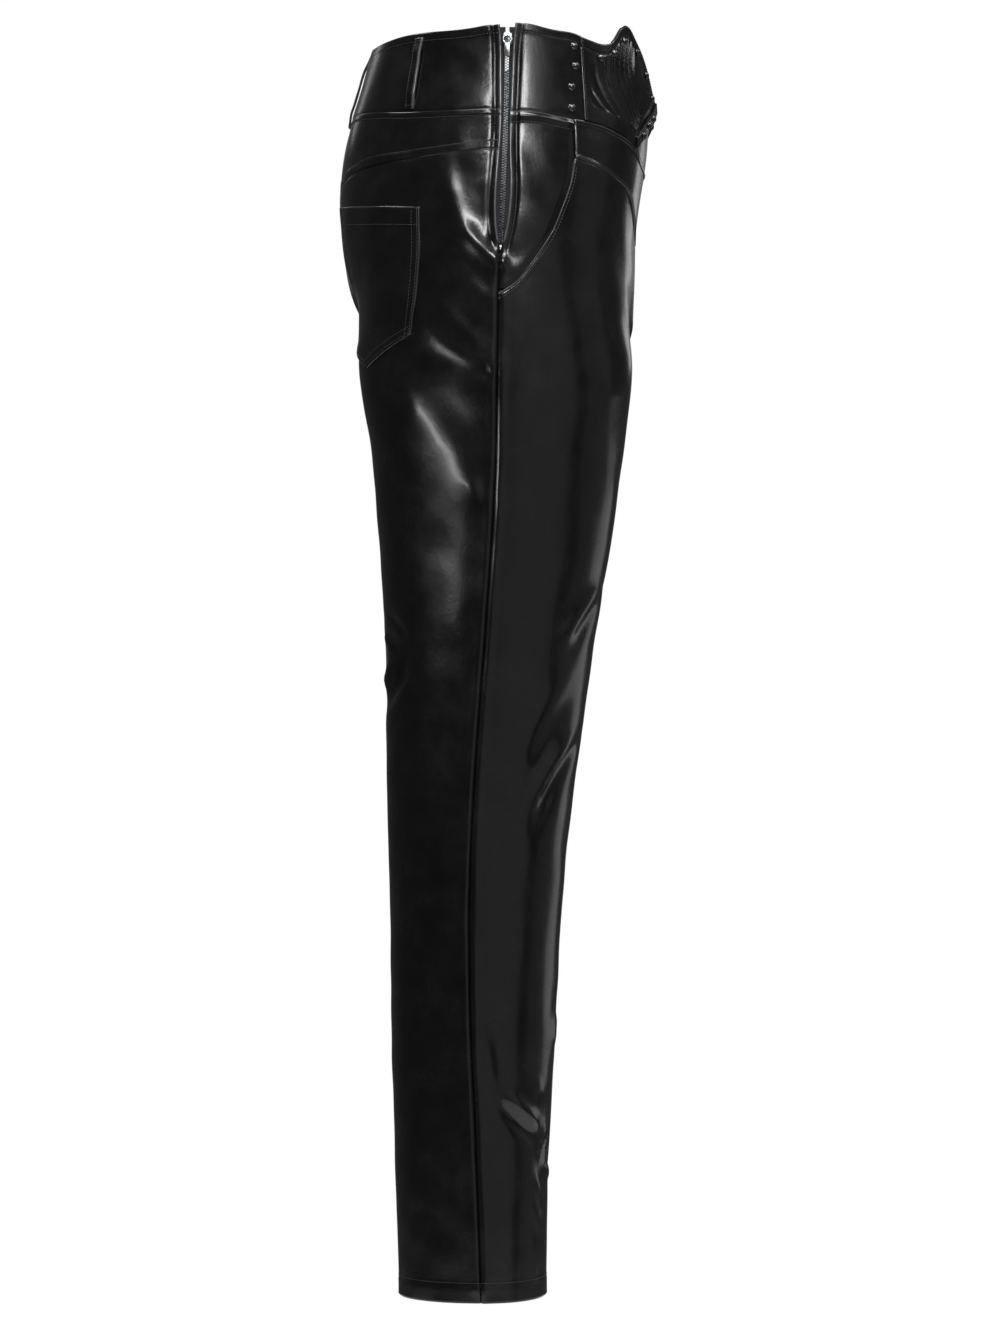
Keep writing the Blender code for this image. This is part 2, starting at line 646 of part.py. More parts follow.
def combine(whole, name, block, operation, turned):
    """Add a block to a piece, or cut it out, by Boolean."""
    bmesh.ops.transform(block, matrix=turned.to_4x4(), verts=block.verts[:])
    face_out(block)
    mesh = bpy.data.meshes.new(name)
    block.to_mesh(mesh)
    block.free()
    tool = bpy.data.objects.new(name, mesh)
    tool.location = whole.location
    tool.hide_render = True
    tool.display_type = "WIRE"
    guides.objects.link(tool)
    change = whole.modifiers.new(name, "BOOLEAN")
    change.operation = operation
    change.solver = "EXACT"
    change.object = tool


def first_block(name, block, turned, origin):
    bmesh.ops.transform(block, matrix=turned.to_4x4(), verts=block.verts[:])
    return keep(name, block, METAL, origin)


def make_slider():
    """A front plate with the crown, and through the gap of the tapes a neck and a back plate."""
    turned, origin = zip_axes()
    back_out = -TAPE_UNDER - TAPE_WALL - SEAM - SLIDER_PLATE / 2
    neck_ends = (SLIDER_PLATE - JOIN_LAP, back_out)
    neck = (SLIDER_NECK, neck_ends[0] - neck_ends[1], SLIDER_LENGTH / 2)
    plate = (SLIDER_WIDTH, SLIDER_PLATE, SLIDER_LENGTH)
    post = (CROWN_WIDTH, CROWN_RISE + JOIN_LAP, CROWN_POST)
    post_out = SLIDER_PLATE + CROWN_RISE / 2
    bar = (CROWN_WIDTH, CROWN_BAR, CROWN_UPPER - CROWN_LOWER + CROWN_POST)
    bar_centre = (0, SLIDER_PLATE + CROWN_RISE + CROWN_BAR / 2, (CROWN_UPPER + CROWN_LOWER) / 2)
    slider = first_block("zip_slider", box(plate, (0, SLIDER_PLATE / 2, 0)), turned, origin)
    combine(slider, "slider_neck", box(neck, (0, sum(neck_ends) / 2, 0)), "UNION", turned)
    combine(slider, "slider_back", box(plate, (0, back_out, 0)), "UNION", turned)
    combine(slider, "crown_upper", box(post, (0, post_out, CROWN_UPPER)), "UNION", turned)
    combine(slider, "crown_lower", box(post, (0, post_out, CROWN_LOWER)), "UNION", turned)
    combine(slider, "crown_bar", box(bar, bar_centre), "UNION", turned)


def make_pull():
    """A small tab with an oval eye. Its origin is on the axis that it swings about."""
    turned, origin = zip_axes()
    axis = origin + turned @ Vector((0, SLIDER_PLATE + PULL_CLEAR + PULL_WALL / 2, PULL_START))
    eye_middle = PULL_BAR / 2 - EYE_LENGTH / 2
    tail_length = PULL_LENGTH - EYE_LENGTH + EYE_LAP
    tail_middle = eye_middle - EYE_LENGTH / 2 + EYE_LAP - tail_length / 2
    tail = box((PULL_TAIL, PULL_WALL, tail_length), (0, 0, tail_middle))
    hole = oval(EYE_WIDTH - 2 * PULL_BAR, EYE_LENGTH - 2 * PULL_BAR, PULL_WALL * 3, eye_middle)
    pull = first_block("zip_pull", oval(EYE_WIDTH, EYE_LENGTH, PULL_WALL, eye_middle), turned, axis)
    combine(pull, "pull_tail", tail, "UNION", turned)
    combine(pull, "pull_eye", hole, "DIFFERENCE", turned)


for half in ("right", "left"):
    make_legs(half)
    make_hip_facing(half)
    make_yokes_and_waistband(half)
    make_wing(half)
    make_pocket(half)
    make_belt_loop(f"belt_loop_{half}", LOOP_TURN, half)
    make_studs(half)
make_belt_loop("belt_loop_back", 360.0, "right")
make_zip()
make_slider()
make_pull()
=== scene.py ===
import math

import bmesh
import bpy
import numpy as np
from mathutils import Matrix, Quaternion, Vector


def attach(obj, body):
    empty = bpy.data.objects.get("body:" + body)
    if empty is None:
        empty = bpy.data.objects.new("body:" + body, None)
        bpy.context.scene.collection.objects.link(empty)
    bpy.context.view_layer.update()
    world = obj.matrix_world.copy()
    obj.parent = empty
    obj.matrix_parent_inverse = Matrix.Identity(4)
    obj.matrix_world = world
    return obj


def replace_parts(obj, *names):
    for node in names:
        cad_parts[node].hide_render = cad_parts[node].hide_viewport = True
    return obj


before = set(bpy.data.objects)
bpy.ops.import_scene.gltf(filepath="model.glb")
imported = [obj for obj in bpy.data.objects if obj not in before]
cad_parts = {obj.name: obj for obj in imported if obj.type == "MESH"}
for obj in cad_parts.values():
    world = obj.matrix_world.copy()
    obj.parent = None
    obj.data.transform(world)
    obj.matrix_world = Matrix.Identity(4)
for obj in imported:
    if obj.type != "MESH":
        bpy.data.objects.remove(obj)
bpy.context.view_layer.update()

# Every piece of cloth lies on one skin. A place on it has a turn and a height: the turn is in degrees,
# 0 at the centre front (the inside leg seam below the crotch), 180 at the side seam, 360 at the centre
# back. Lengths are in metres. The skin is worked out for the right half, and the left is its mirror.

# ---- sizes, the same as the CAD's --------------------------------------------------------------
MM = 0.001
SEAM = 0.3 * MM           # between what lies on a panel and the panel
HAIR = 0.02 * MM          # half the space between two panels that are sewn edge to edge
CROTCH = -0.285
HIP = -0.150
HEM = -1.061
CENTRE_EDGE = 0.015       # degrees
PER_DEGREE = 1.3 * MM

BODY_COLUMNS = ("height", "front", "seam", "back", "breadth")
BODY = (
    (0.060, -0.1150, 0.0015, 0.1120, 0.1425),
    (0.030, -0.1185, 0.0018, 0.1225, 0.1455),
    (0.000, -0.1222, 0.0023, 0.1315, 0.1500),
    (-0.036, -0.1240, 0.0030, 0.1425, 0.1575),
    (-0.070, -0.1212, 0.0040, 0.1490, 0.1655),
    (-0.110, -0.1148, 0.0055, 0.1507, 0.1735),
    (-0.150, -0.1120, 0.0073, 0.1470, 0.1795),
    (-0.195, -0.1112, 0.0090, 0.1410, 0.1835),
    (-0.240, -0.1092, 0.0102, 0.1345, 0.1853),
    (-0.285, -0.1050, 0.0110, 0.1280, 0.1855),
)
LEG_COLUMNS = ("height", "front", "seam", "back", "inner", "outer")
LEG = (
    (-0.240, -0.1092, 0.0102, 0.1345, 0.0020, -0.1853),
    (-0.285, -0.1050, 0.0110, 0.1280, 0.0000, -0.1855),
    (-0.320, -0.1005, 0.0113, 0.1215, -0.0055, -0.1830),
    (-0.376, -0.0935, 0.0133, 0.1158, -0.0120, -0.1780),
    (-0.430, -0.0850, 0.0167, 0.1115, -0.0165, -0.1740),
    (-0.511, -0.0715, 0.0227, 0.1080, -0.0230, -0.1700),
    (-0.606, -0.0582, 0.0298, 0.1070, -0.0290, -0.1680),
    (-0.715, -0.0468, 0.0341, 0.1045, -0.0345, -0.1670),
    (-0.831, -0.0395, 0.0330, 0.1026, -0.0375, -0.1665),
    (-0.960, -0.0340, 0.0276, 0.0986, -0.0395, -0.1660),
    (-1.070, -0.0320, 0.0238, 0.0958, -0.0405, -0.1655),
)
BODY_ROUNDNESS = 2.27
LEG_ROUNDNESS = 2.12
FORK_FRONT = -0.210
FORK_BACK = -0.165
FORK_SOFT = 1.1

# Seams and edges: height over turn.
TOP_FRONT = (
    (0, -0.024), (15, -0.012), (30, 0.003), (45, 0.014), (60, 0.021), (80, 0.024),
    (100, 0.021), (113, 0.021), (129, 0.030), (146, 0.0330), (165, 0.0372), (180, 0.0385),
)
TOP_BACK = (
    (180, 0.0372), (190, 0.0363), (212, 0.0336), (240, 0.0333), (270, 0.0325), (290, 0.0315), (360, 0.033),
)
BAND_FRONT = (
    (0, -0.0755), (20, -0.0745), (40, -0.0725), (58, -0.0686), (72, -0.0620), (89, -0.0558),
    (103, -0.0513), (116, -0.0477), (130, -0.0452), (145, -0.0430), (160, -0.0395), (180, -0.0392),
)
BAND_BACK = (
    (180, -0.0369), (215, -0.0377), (248, -0.0362), (273, -0.0332), (310, -0.0305), (360, -0.0285),
)
YOKE_FRONT = (
    (0, -0.141), (30, -0.132), (50, -0.121), (67, -0.1085), (80, -0.1004), (97, -0.0943),
    (112, -0.0875), (125, -0.0822), (137, -0.0785),
)
YOKE_BACK = (
    (180, -0.0722), (188, -0.0724), (221, -0.0770), (258, -0.0800), (287, -0.0830), (320, -0.0895),
    (360, -0.0935),
)
WING_TOP = (
    (0, -0.011), (15, 0.001), (29, 0.014), (45, 0.0265), (62, 0.0372), (70, 0.0435), (80, 0.0448),
    (88, 0.0401), (96, 0.0310), (104, 0.0250), (113, 0.0242), (128, 0.0285), (140, 0.031),
)
WING_FOOT = ((0, -0.0205), (20, -0.0315), (40, -0.0395), (58, -0.0510), (72, -0.0605))
STRIP_COLUMNS = ("turn", "upper", "lower")
STRIP = (
    (0.4, -0.0120, -0.0215), (20, -0.0225, -0.0327), (40, -0.0300, -0.0410),
    (58, -0.0400, -0.0525), (72, -0.0520, -0.0618),
)
OPENING = (               # height and turn
    (-0.0445, 136.0), (-0.0785, 137.0), (-0.0981, 139.5), (-0.1208, 145.0), (-0.1419, 151.0),
    (-0.1600, 158.5), (-0.1774, 166.5), (-0.1902, 173.5), (-0.1970, 180.0),
)
WING_EDGE = 129.0
FACING_HAIR = 0.06        # degrees
FACING_END = -0.1935

ZIP_OPENING = (           # height and half the space that the zip takes
    (0.039, 0.0068), (0.022, 0.0050), (0.000, 0.0042), (-0.065, 0.0036), (-0.148, 0.0027), (-0.160, HAIR),
)
ZIP_TOP = 0.0355
ZIP_END = -0.156
TAPE_SPARE = 6 * MM
TAPE_UNDER = 2.7 * MM
TAPE_WALL = 1.0 * MM
TAPE_REACH = 14 * MM
CHAIN_HALF = 2.2 * MM
CHAIN_TOP = 0.0160
SLIDER_HEIGHT = 0.0245
SLIDER_LENGTH = 11 * MM

POCKET_COLUMNS = ("height", "near", "far")
POCKET = (
    (-0.2310, 222.0, 281.0), (-0.2040, 220.5, 299.0), (-0.1710, 224.0, 317.0), (-0.1215, 228.0, 325.0),
)
POCKET_TILT = 0.012
POCKET_POINT = 0.027
LOOP_WIDTH = 9.5 * MM
LOOP_TOP = 0.0290
LOOP_FOOT = -0.0345
LOOP_RISE = 2.0 * MM
LOOP_TURN = 244.3
LAYER = 1.3 * MM          # how far a piece stands off the one that it is laid on
POCKET_LAYER = 1.6 * MM
LOOP_LAYER = 1.7 * MM
LOOP_RADIUS = 0.0735      # of the waistband where a side loop sits
STUD_LIFT = 0.2 * MM
BAND_STUDS = ((133.3, 0.0197), (132.9, 0.0023), (136.8, -0.0165), (137.4, -0.0350))
WING_STUDS = (
    (112.0, 0.0114), (97.5, 0.0174), (82.5, 0.0303), (59.0, 0.0242), (37.0, 0.0072), (17.0, -0.0105),
)
STRIP_STUDS = ((24.0, -0.0293), (45.0, -0.0382), (61.0, -0.0494))
WING_STAND = 6.2 * MM
WING_STAND_REACH = 22.0

# ---- sizes of the looks ------------------------------------------------------------------------
CLOTH = 1.2 * MM          # thickness that shows at an edge
TRIM_CLOTH = 1.1 * MM
STITCH = 3.0 * MM         # pitch of the topstitching
THREAD = 0.30 * MM        # half its thickness
LEAST_CUT = 10.2 * MM     # a narrow strip is cut no narrower than this

FOLD_COLUMNS = ("turn", "height", "to_turn", "to_height", "bow", "width", "depth", "ridge")
# bow bends a fold to one side. depth presses it in, or lifts it as a soft ridge where it is negative,
# and ridge lifts the cloth beside it.
FOLDS = (
    (215, -0.078, 187, -0.170, 0.07, 0.008, -0.0032, 0.0),
    (203, -0.134, 174, -0.176, 0.10, 0.006, -0.0026, 0.0),
    (193, -0.098, 189, -0.146, 0.00, 0.007, 0.0016, 0.0),
    (186, -0.171, 176, -0.172, 0.00, 0.004, -0.0010, 0.0),
    (216, -0.185, 184, -0.250, 0.06, 0.007, -0.0020, 0.0),
    (224, -0.196, 184, -0.262, 0.10, 0.007, -0.0024, 0.0),
    (197, -0.185, 183, -0.204, 0.00, 0.004, -0.0010, 0.0),
    (190, -0.262, 181, -0.268, 0.00, 0.005, 0.0014, 0.0),
    (230, -0.235, 194, -0.366, 0.04, 0.016, -0.0016, 0.0),
    (218, -0.262, 190, -0.330, 0.00, 0.010, 0.0008, 0.0),
    (196, -0.350, 189, -0.378, 0.00, 0.006, -0.0014, 0.0),
    (264, -0.474, 234, -0.500, -0.14, 0.008, 0.0046, 0.0034),
    (234, -0.503, 266, -0.548, -0.14, 0.008, 0.0046, 0.0034),
    (232, -0.515, 206, -0.530, 0.00, 0.018, -0.0012, 0.0),
    (94, -0.448, 122, -0.504, 0.06, 0.007, 0.0030, 0.0034),
    (112, -0.530, 140, -0.612, 0.04, 0.010, 0.0018, 0.0020),
    (98, -0.575, 134, -0.655, 0.08, 0.007, 0.0042, 0.0044),
    (132, -0.612, 146, -0.650, 0.00, 0.010, 0.0012, 0.0010),
    (169, -0.828, 164, -0.880, 0.00, 0.007, 0.0022, 0.0),
    (122, -0.924, 164, -0.884, -0.06, 0.007, 0.0036, 0.0036),
    (118, -0.872, 134, -0.894, 0.00, 0.012, -0.0018, 0.0),
    (97, -0.812, 104, -0.848, 0.00, 0.008, -0.0022, 0.0),
    (103, -0.914, 122, -0.944, 0.00, 0.006, 0.0026, 0.0026),
    (121, -0.947, 108, -0.992, 0.00, 0.006, 0.0020, 0.0020),
    (104, -0.936, 90, -0.952, 0.00, 0.006, 0.0034, 0.0020),
    (64, -0.430, 22, -0.500, 0.10, 0.015, 0.0030, 0.0014),
    (72, -0.560, 30, -0.620, 0.10, 0.013, 0.0028, 0.0014),
    (290, -0.470, 332, -0.520, 0.10, 0.014, 0.0036, 0.0018),
    (300, -0.540, 338, -0.580, -0.10, 0.012, 0.0024, 0.0012),
    (62, -0.860, 26, -0.910, 0.15, 0.012, 0.0030, 0.0018),
    (318, -0.880, 344, -0.930, -0.10, 0.012, 0.0022, 0.0012),
    (30, -0.250, 62, -0.300, 0.10, 0.012, 0.0020, 0.0010),
    (24, -0.275, 58, -0.345, 0.08, 0.012, 0.0022, 0.0012),
    (328, -0.262, 298, -0.312, 0.10, 0.012, 0.0020, 0.0010),
)


# ---- the skin ----------------------------------------------------------------------------------
def spline(rows, column=1):
    """A natural cubic through a table's first column and the one named by its place."""
    rows = sorted(rows)
    x = np.array([row[0] for row in rows], float)
    y = np.array([row[column] for row in rows], float)
    h = np.diff(x)
    system = np.eye(len(x))
    right = np.zeros(len(x))
    for i in range(1, len(x) - 1):
        system[i, i - 1:i + 2] = h[i - 1], 2 * (h[i - 1] + h[i]), h[i]
        right[i] = 6 * ((y[i + 1] - y[i]) / h[i] - (y[i] - y[i - 1]) / h[i - 1])
    bend = np.linalg.solve(system, right)

    def at(t):
        t = np.clip(t, x[0], x[-1])
        i = np.clip(np.searchsorted(x, t) - 1, 0, len(x) - 2)
        b = (t - x[i]) / h[i]
        a = 1 - b
        curve = ((a ** 3 - a) * bend[i] + (b ** 3 - b) * bend[i + 1]) * h[i] ** 2 / 6
        return a * y[i] + b * y[i + 1] + curve

    return at


def columns(rows, names):
    """One curve for each named column after the first."""
    return {name: spline(rows, place) for place, name in enumerate(names) if place}


body = columns(BODY, BODY_COLUMNS)
leg = columns(LEG, LEG_COLUMNS)
top_front, top_back = spline(TOP_FRONT), spline(TOP_BACK)
band_front, band_back = spline(BAND_FRONT), spline(BAND_BACK)
yoke_front, yoke_back = spline(YOKE_FRONT), spline(YOKE_BACK)
wing_top, wing_foot = spline(WING_TOP), spline(WING_FOOT)
strip = columns(STRIP, STRIP_COLUMNS)
opening_turn = spline(OPENING)
zip_half = spline(ZIP_OPENING)
pocket = columns(POCKET, POCKET_COLUMNS)


def smooth(t):
    t = np.clip(t, 0, 1)
    return t * t * (3 - 2 * t)


def mix(a, b, t):
    return a + (b - a) * t


def hump(distance, width):
    return np.exp(-(distance / width) ** 2)


def reach(c, s, half_c, half_s, roundness):
    """From the middle of a rounded oval to its edge, in the direction (c, s)."""
    return (np.abs(c / half_c) ** roundness + np.abs(s / half_s) ** roundness) ** (-1 / roundness)


def body_section(turn, height):
    """x and y on the body; towards the crotch the turns crowd to the front and back."""
    half = turn / 2
    crowd = 1 + smooth((HIP - height) / (HIP - CROTCH))
    angle = np.arcsin(np.clip(np.sin(half), 0, 1) ** crowd)
    angle = np.where(turn > math.pi, math.pi - angle, angle)
    c, s = np.cos(angle), np.sin(angle)
    seam = body["seam"](height)
    depth = np.where(c > 0, seam - body["front"](height), body["back"](height) - seam)
    r = reach(s, c, body["breadth"](height), depth, BODY_ROUNDNESS)
    return -r * s, seam - r * c


def leg_section(turn, height):
    c, s = np.cos(turn), np.sin(turn)
    inner, outer, seam = leg["inner"](height), leg["outer"](height), leg["seam"](height)
    depth = np.where(s > 0, seam - leg["front"](height), leg["back"](height) - seam)
    r = reach(c, s, (inner - outer) / 2, depth, LEG_ROUNDNESS)
    return (inner + outer) / 2 + r * c, seam - r * s


def fork(turn, height):
    """0 on the body, 1 on the leg; at the centre it follows the round of the crotch seam."""
    top = np.where(turn < math.pi, FORK_FRONT, FORK_BACK)
    fall = np.clip((top - height) / (top - CROTCH), 0, 1)
    away = np.minimum(turn, 2 * math.pi - turn)
    softness = 0.5 + 1.7 * smooth(away / FORK_SOFT)
    at_centre = 1 - np.clip(1 - fall ** 2, 0, 1) ** softness
    at_side = smooth((HIP - height) / (HIP - CROTCH))
    centre = np.clip(np.cos(turn / 2) ** 2, 0, 1) ** 1.5
    return mix(at_side, at_centre, centre)


def form(turn, height):
    """The plain form, without folds. Turns past 360 go on round the left half."""
    turn, height = np.broadcast_arrays(np.asarray(turn, float), np.asarray(height, float))
    past = (turn > 360) | (turn < 0)
    turn = np.radians(np.where(turn > 360, 720 - turn, np.abs(turn)))
    share = np.where(height > CROTCH, fork(turn, height), 1.0)
    body_x, body_y = body_section(turn, np.maximum(height, CROTCH))
    leg_x, leg_y = leg_section(turn, height)
    x = mix(body_x, leg_x, share)
    return np.stack([np.where(past, -x, x), mix(body_y, leg_y, share), height], axis=-1)


def outward(turn, height):
    """The skin's normal, read a little inside the centre seams."""
    turn = np.where(np.abs(turn - 360) < 1.0, np.where(turn > 360, 361.0, 359.0), np.maximum(turn, 1.0))
    across = form(turn + 0.5, height) - form(turn - 0.5, height)
    up = form(turn, height + 0.002) - form(turn, height - 0.002)
    normal = np.cross(up, across)
    return normal / np.linalg.norm(normal, axis=-1, keepdims=True)


def fold_relief(turn, height):
    """What the folds add to the skin."""
    total = np.zeros(np.broadcast(turn, height).shape)
    steps = 7
    for row in FOLDS:
        fold = dict(zip(FOLD_COLUMNS, row))
        run = (fold["to_turn"] - fold["turn"]) * PER_DEGREE
        drop = fold["to_height"] - fold["height"]
        x = (turn - fold["turn"]) * PER_DEGREE
        z = height - fold["height"]
        near = np.full(total.shape, 1.0)
        where = np.zeros(total.shape)
        side = np.zeros(total.shape)
        share = np.linspace(0, 1, steps + 1)
        bend = fold["bow"] * 4 * share * (1 - share)
        path_x = share * run - bend * drop
        path_z = share * drop + bend * run
        for k in range(steps):
            ax, az = path_x[k], path_z[k]
            bx, bz = path_x[k + 1] - ax, path_z[k + 1] - az
            along = np.clip(((x - ax) * bx + (z - az) * bz) / (bx * bx + bz * bz), 0, 1)
            off_x, off_z = x - ax - along * bx, z - az - along * bz
            off = np.hypot(off_x, off_z)
            better = off < near
            near = np.where(better, off, near)
            where = np.where(better, (k + along) / steps, where)
            side = np.where(better, np.sign(bx * off_z - bz * off_x), side)
        taper = smooth(where / 0.35) * smooth((1 - where) / 0.35)
        signed = near * side
        total -= fold["depth"] * hump(near, fold["width"]) * (0.25 + 0.75 * taper)
        total += fold["ridge"] * hump(signed - 1.7 * fold["width"], fold["width"]) * taper
    return total


WAVE_COUNT = 14


def waves(points, size, seed):
    """Smooth unevenness between about -1 and 1: waves of this length crossing in all directions."""
    draw = np.random.default_rng(seed)
    along = draw.normal(size=(WAVE_COUNT, 3))
    along /= np.linalg.norm(along, axis=1, keepdims=True)
    pace = 2 * math.pi / size / draw.uniform(1.0, 2.6, WAVE_COUNT)
    start = draw.uniform(0, 2 * math.pi, WAVE_COUNT)
    total = sum(np.sin(points @ (along[k] * pace[k]) + start[k]) for k in range(WAVE_COUNT))
    return total / math.sqrt(WAVE_COUNT)


# ---- materials ---------------------------------------------------------------------------------
def linear(hex_colour):
    """An sRGB hex colour as the linear values that the shader takes."""
    values = [int(hex_colour[i:i + 2], 16) / 255 for i in (1, 3, 5)]
    return tuple(v / 12.92 if v <= 0.04045 else ((v + 0.055) / 1.055) ** 2.4 for v in values) + (1.0,)


def add_node(material, kind, settings=(), inputs=(), links=()):
    """One node with its settings, its input values, and links (input, from node, output)."""
    node = material.node_tree.nodes.new(kind)
    for name, value in dict(settings).items():
        setattr(node, name, value)
    for name, value in dict(inputs).items():
        node.inputs[name].default_value = value
    for name, source, output in links:
        material.node_tree.links.new(source.outputs[output], node.inputs[name])
    return node


def new_material(name, **values):
    material = bpy.data.materials.new(name)
    material.use_nodes = True
    shader = material.node_tree.nodes["Principled BSDF"]
    for key, value in values.items():
        shader.inputs[key.replace("_", " ")].default_value = value
    return material, shader


# A pattern's scale is its repeats in a metre, so 38 is a patch of about 26 mm.
EDGE_HIGHLIGHT = "#545457"        # painted highlight, a lighter colour laid along turned edges where they would catch the light
COATING_DARK = "#0a0a0b"
COATING_ROUGHNESS = 0.235
GRAIN = 0.9 * MM
CLOUD_SCALE = 38.0
STREAK_SCALE = 420.0      # 2.4 mm
CRUMPLE_SCALE = 55.0      # 18 mm
TWIST_SCALE = 2500.0      # 0.4 mm


def coated_cloth(name, light):
    """Polyurethane-coated cloth: black and glossy, with a very fine printed grain that breaks the
    highlights up, and slow rolling creases where it is handled."""
    material, shader = new_material(name, Specular_IOR_Level=0.5, Coat_Weight=0.22, Coat_Roughness=0.12)
    place = add_node(material, "ShaderNodeTexCoord")
    cloud = add_node(
        material, "ShaderNodeTexNoise", inputs={"Scale": CLOUD_SCALE, "Detail": 5.0, "Roughness": 0.6},
        links=[("Vector", place, "Object")])
    colour = add_node(material, "ShaderNodeValToRGB", links=[("Fac", cloud, "Fac")])
    colour.color_ramp.elements[0].color = linear(COATING_DARK)
    colour.color_ramp.elements[0].position = 0.35
    colour.color_ramp.elements[1].color = linear(light)
    colour.color_ramp.elements[1].position = 0.70
    gloss = add_node(
        material, "ShaderNodeMapRange",
        inputs={
            "From Min": 0.3, "From Max": 0.7,
            "To Min": COATING_ROUGHNESS - 0.05, "To Max": COATING_ROUGHNESS + 0.06},
        links=[("Value", cloud, "Fac")])
    pebble = add_node(
        material, "ShaderNodeTexVoronoi", {"feature": "SMOOTH_F1"}, {"Scale": 1 / GRAIN},
        [("Vector", place, "Object")])
    streak = add_node(
        material, "ShaderNodeTexNoise",
        inputs={"Scale": STREAK_SCALE, "Detail": 4.0, "Roughness": 0.65, "Distortion": 0.4},
        links=[("Vector", place, "Object")])
    crumple = add_node(
        material, "ShaderNodeTexNoise",
        inputs={"Scale": CRUMPLE_SCALE, "Detail": 5.0, "Roughness": 0.55, "Distortion": 0.8},
        links=[("Vector", place, "Object")])
    fine = add_node(
        material, "ShaderNodeBump", inputs={"Strength": 0.14, "Distance": 0.25 * MM},
        links=[("Height", pebble, "Distance")])
    middle = add_node(
        material, "ShaderNodeBump", inputs={"Strength": 0.36, "Distance": 0.25 * MM},
        links=[("Height", streak, "Fac"), ("Normal", fine, "Normal")])
    broad = add_node(
        material, "ShaderNodeBump", inputs={"Strength": 0.09, "Distance": 1.2 * MM},
        links=[("Height", crumple, "Fac"), ("Normal", middle, "Normal")])
    # A painted highlight: a lighter colour is mixed in along turned edges, by the share stored on the mesh.
    rubbed = add_node(material, "ShaderNodeAttribute", {"attribute_name": "rubbed"})
    edge_highlight_mix = add_node(
        material, "ShaderNodeMix", {"data_type": "RGBA"}, links=[("Factor", rubbed, "Fac")])
    edge_highlight_mix.inputs["B"].default_value = linear(EDGE_HIGHLIGHT)
    link = material.node_tree.links.new
    link(colour.outputs["Color"], edge_highlight_mix.inputs["A"])
    link(edge_highlight_mix.outputs["Result"], shader.inputs["Base Color"])
    link(gloss.outputs["Result"], shader.inputs["Roughness"])
    link(broad.outputs["Normal"], shader.inputs["Normal"])
    return material


def metal(name, colour, roughness, spots):
    """Die-cast or stamped metal under a thin dark plating, faintly uneven where it is handled."""
    material, shader = new_material(name, Metallic=1.0)
    place = add_node(material, "ShaderNodeTexCoord")
    wear = add_node(
        material, "ShaderNodeTexNoise", inputs={"Scale": spots, "Detail": 3.0},
        links=[("Vector", place, "Object")])
    tone = add_node(material, "ShaderNodeValToRGB", links=[("Fac", wear, "Fac")])
    tone.color_ramp.elements[0].color = linear(colour[0])
    tone.color_ramp.elements[1].color = linear(colour[1])
    gloss = add_node(
        material, "ShaderNodeMapRange", inputs={"To Min": roughness * 0.7, "To Max": roughness * 1.4},
        links=[("Value", wear, "Fac")])
    link = material.node_tree.links.new
    link(tone.outputs["Color"], shader.inputs["Base Color"])
    link(gloss.outputs["Result"], shader.inputs["Roughness"])
    return material


def woven_tape(name):
    """Polyester zip tape: a fine matte twill."""
    material, shader = new_material(name, Roughness=0.85, Sheen_Weight=0.2)
    place = add_node(material, "ShaderNodeTexCoord")
    rib = add_node(
        material, "ShaderNodeTexWave", {"bands_direction": "DIAGONAL"},
        {"Scale": 1 / (1.2 * MM) / 6.283, "Distortion": 0.4}, [("Vector", place, "Object")])
    tone = add_node(material, "ShaderNodeValToRGB", links=[("Fac", rib, "Fac")])
    tone.color_ramp.elements[0].color = linear("#0c0c0d")
    tone.color_ramp.elements[1].color = linear("#1d1d1f")
    bump = add_node(
        material, "ShaderNodeBump", inputs={"Strength": 0.5, "Distance": 0.2 * MM},
        links=[("Height", rib, "Fac")])
    link = material.node_tree.links.new
    link(tone.outputs["Color"], shader.inputs["Base Color"])
    link(bump.outputs["Normal"], shader.inputs["Normal"])
    return material


def spun_thread(name):
    """Black polyester sewing thread, twisted, with a dull shine."""
    material, shader = new_material(name, Roughness=0.55)
    place = add_node(material, "ShaderNodeTexCoord")
    twist = add_node(
        material, "ShaderNodeTexNoise", inputs={"Scale": TWIST_SCALE, "Detail": 2.0},
        links=[("Vector", place, "Object")])
    tone = add_node(material, "ShaderNodeValToRGB", links=[("Fac", twist, "Fac")])
    tone.color_ramp.elements[0].color = linear("#161617")
    tone.color_ramp.elements[1].color = linear("#454548")
    material.node_tree.links.new(tone.outputs["Color"], shader.inputs["Base Color"])
    return material


LEATHER = coated_cloth("polyurethane_coated_cloth", "#111112")
LEATHER_TRIM = coated_cloth("polyurethane_coated_trim", "#121213")
TAPE = woven_tape("polyester_zip_tape")
ZIP_METAL = metal("nickel_plated_zip", ("#7c7d81", "#b8b9bc"), 0.26, 300.0)
TOOTH_METAL = metal("blackened_zip_teeth", ("#4e4f53", "#8c8d91"), 0.28, 300.0)
STUD_METAL = metal("black_nickel_stud", ("#4c4d50", "#6c6d71"), 0.20, 200.0)
THREAD_BLACK = spun_thread("polyester_thread")

# Thickness at an edge, material and slot of each kind of cloth.
MAIN = (CLOTH, LEATHER, "coated_black")
TRIM = (TRIM_CLOTH, LEATHER_TRIM, "coated_black_trim")
WOVEN = (TAPE_WALL * 0.7, TAPE, "zip_tape")


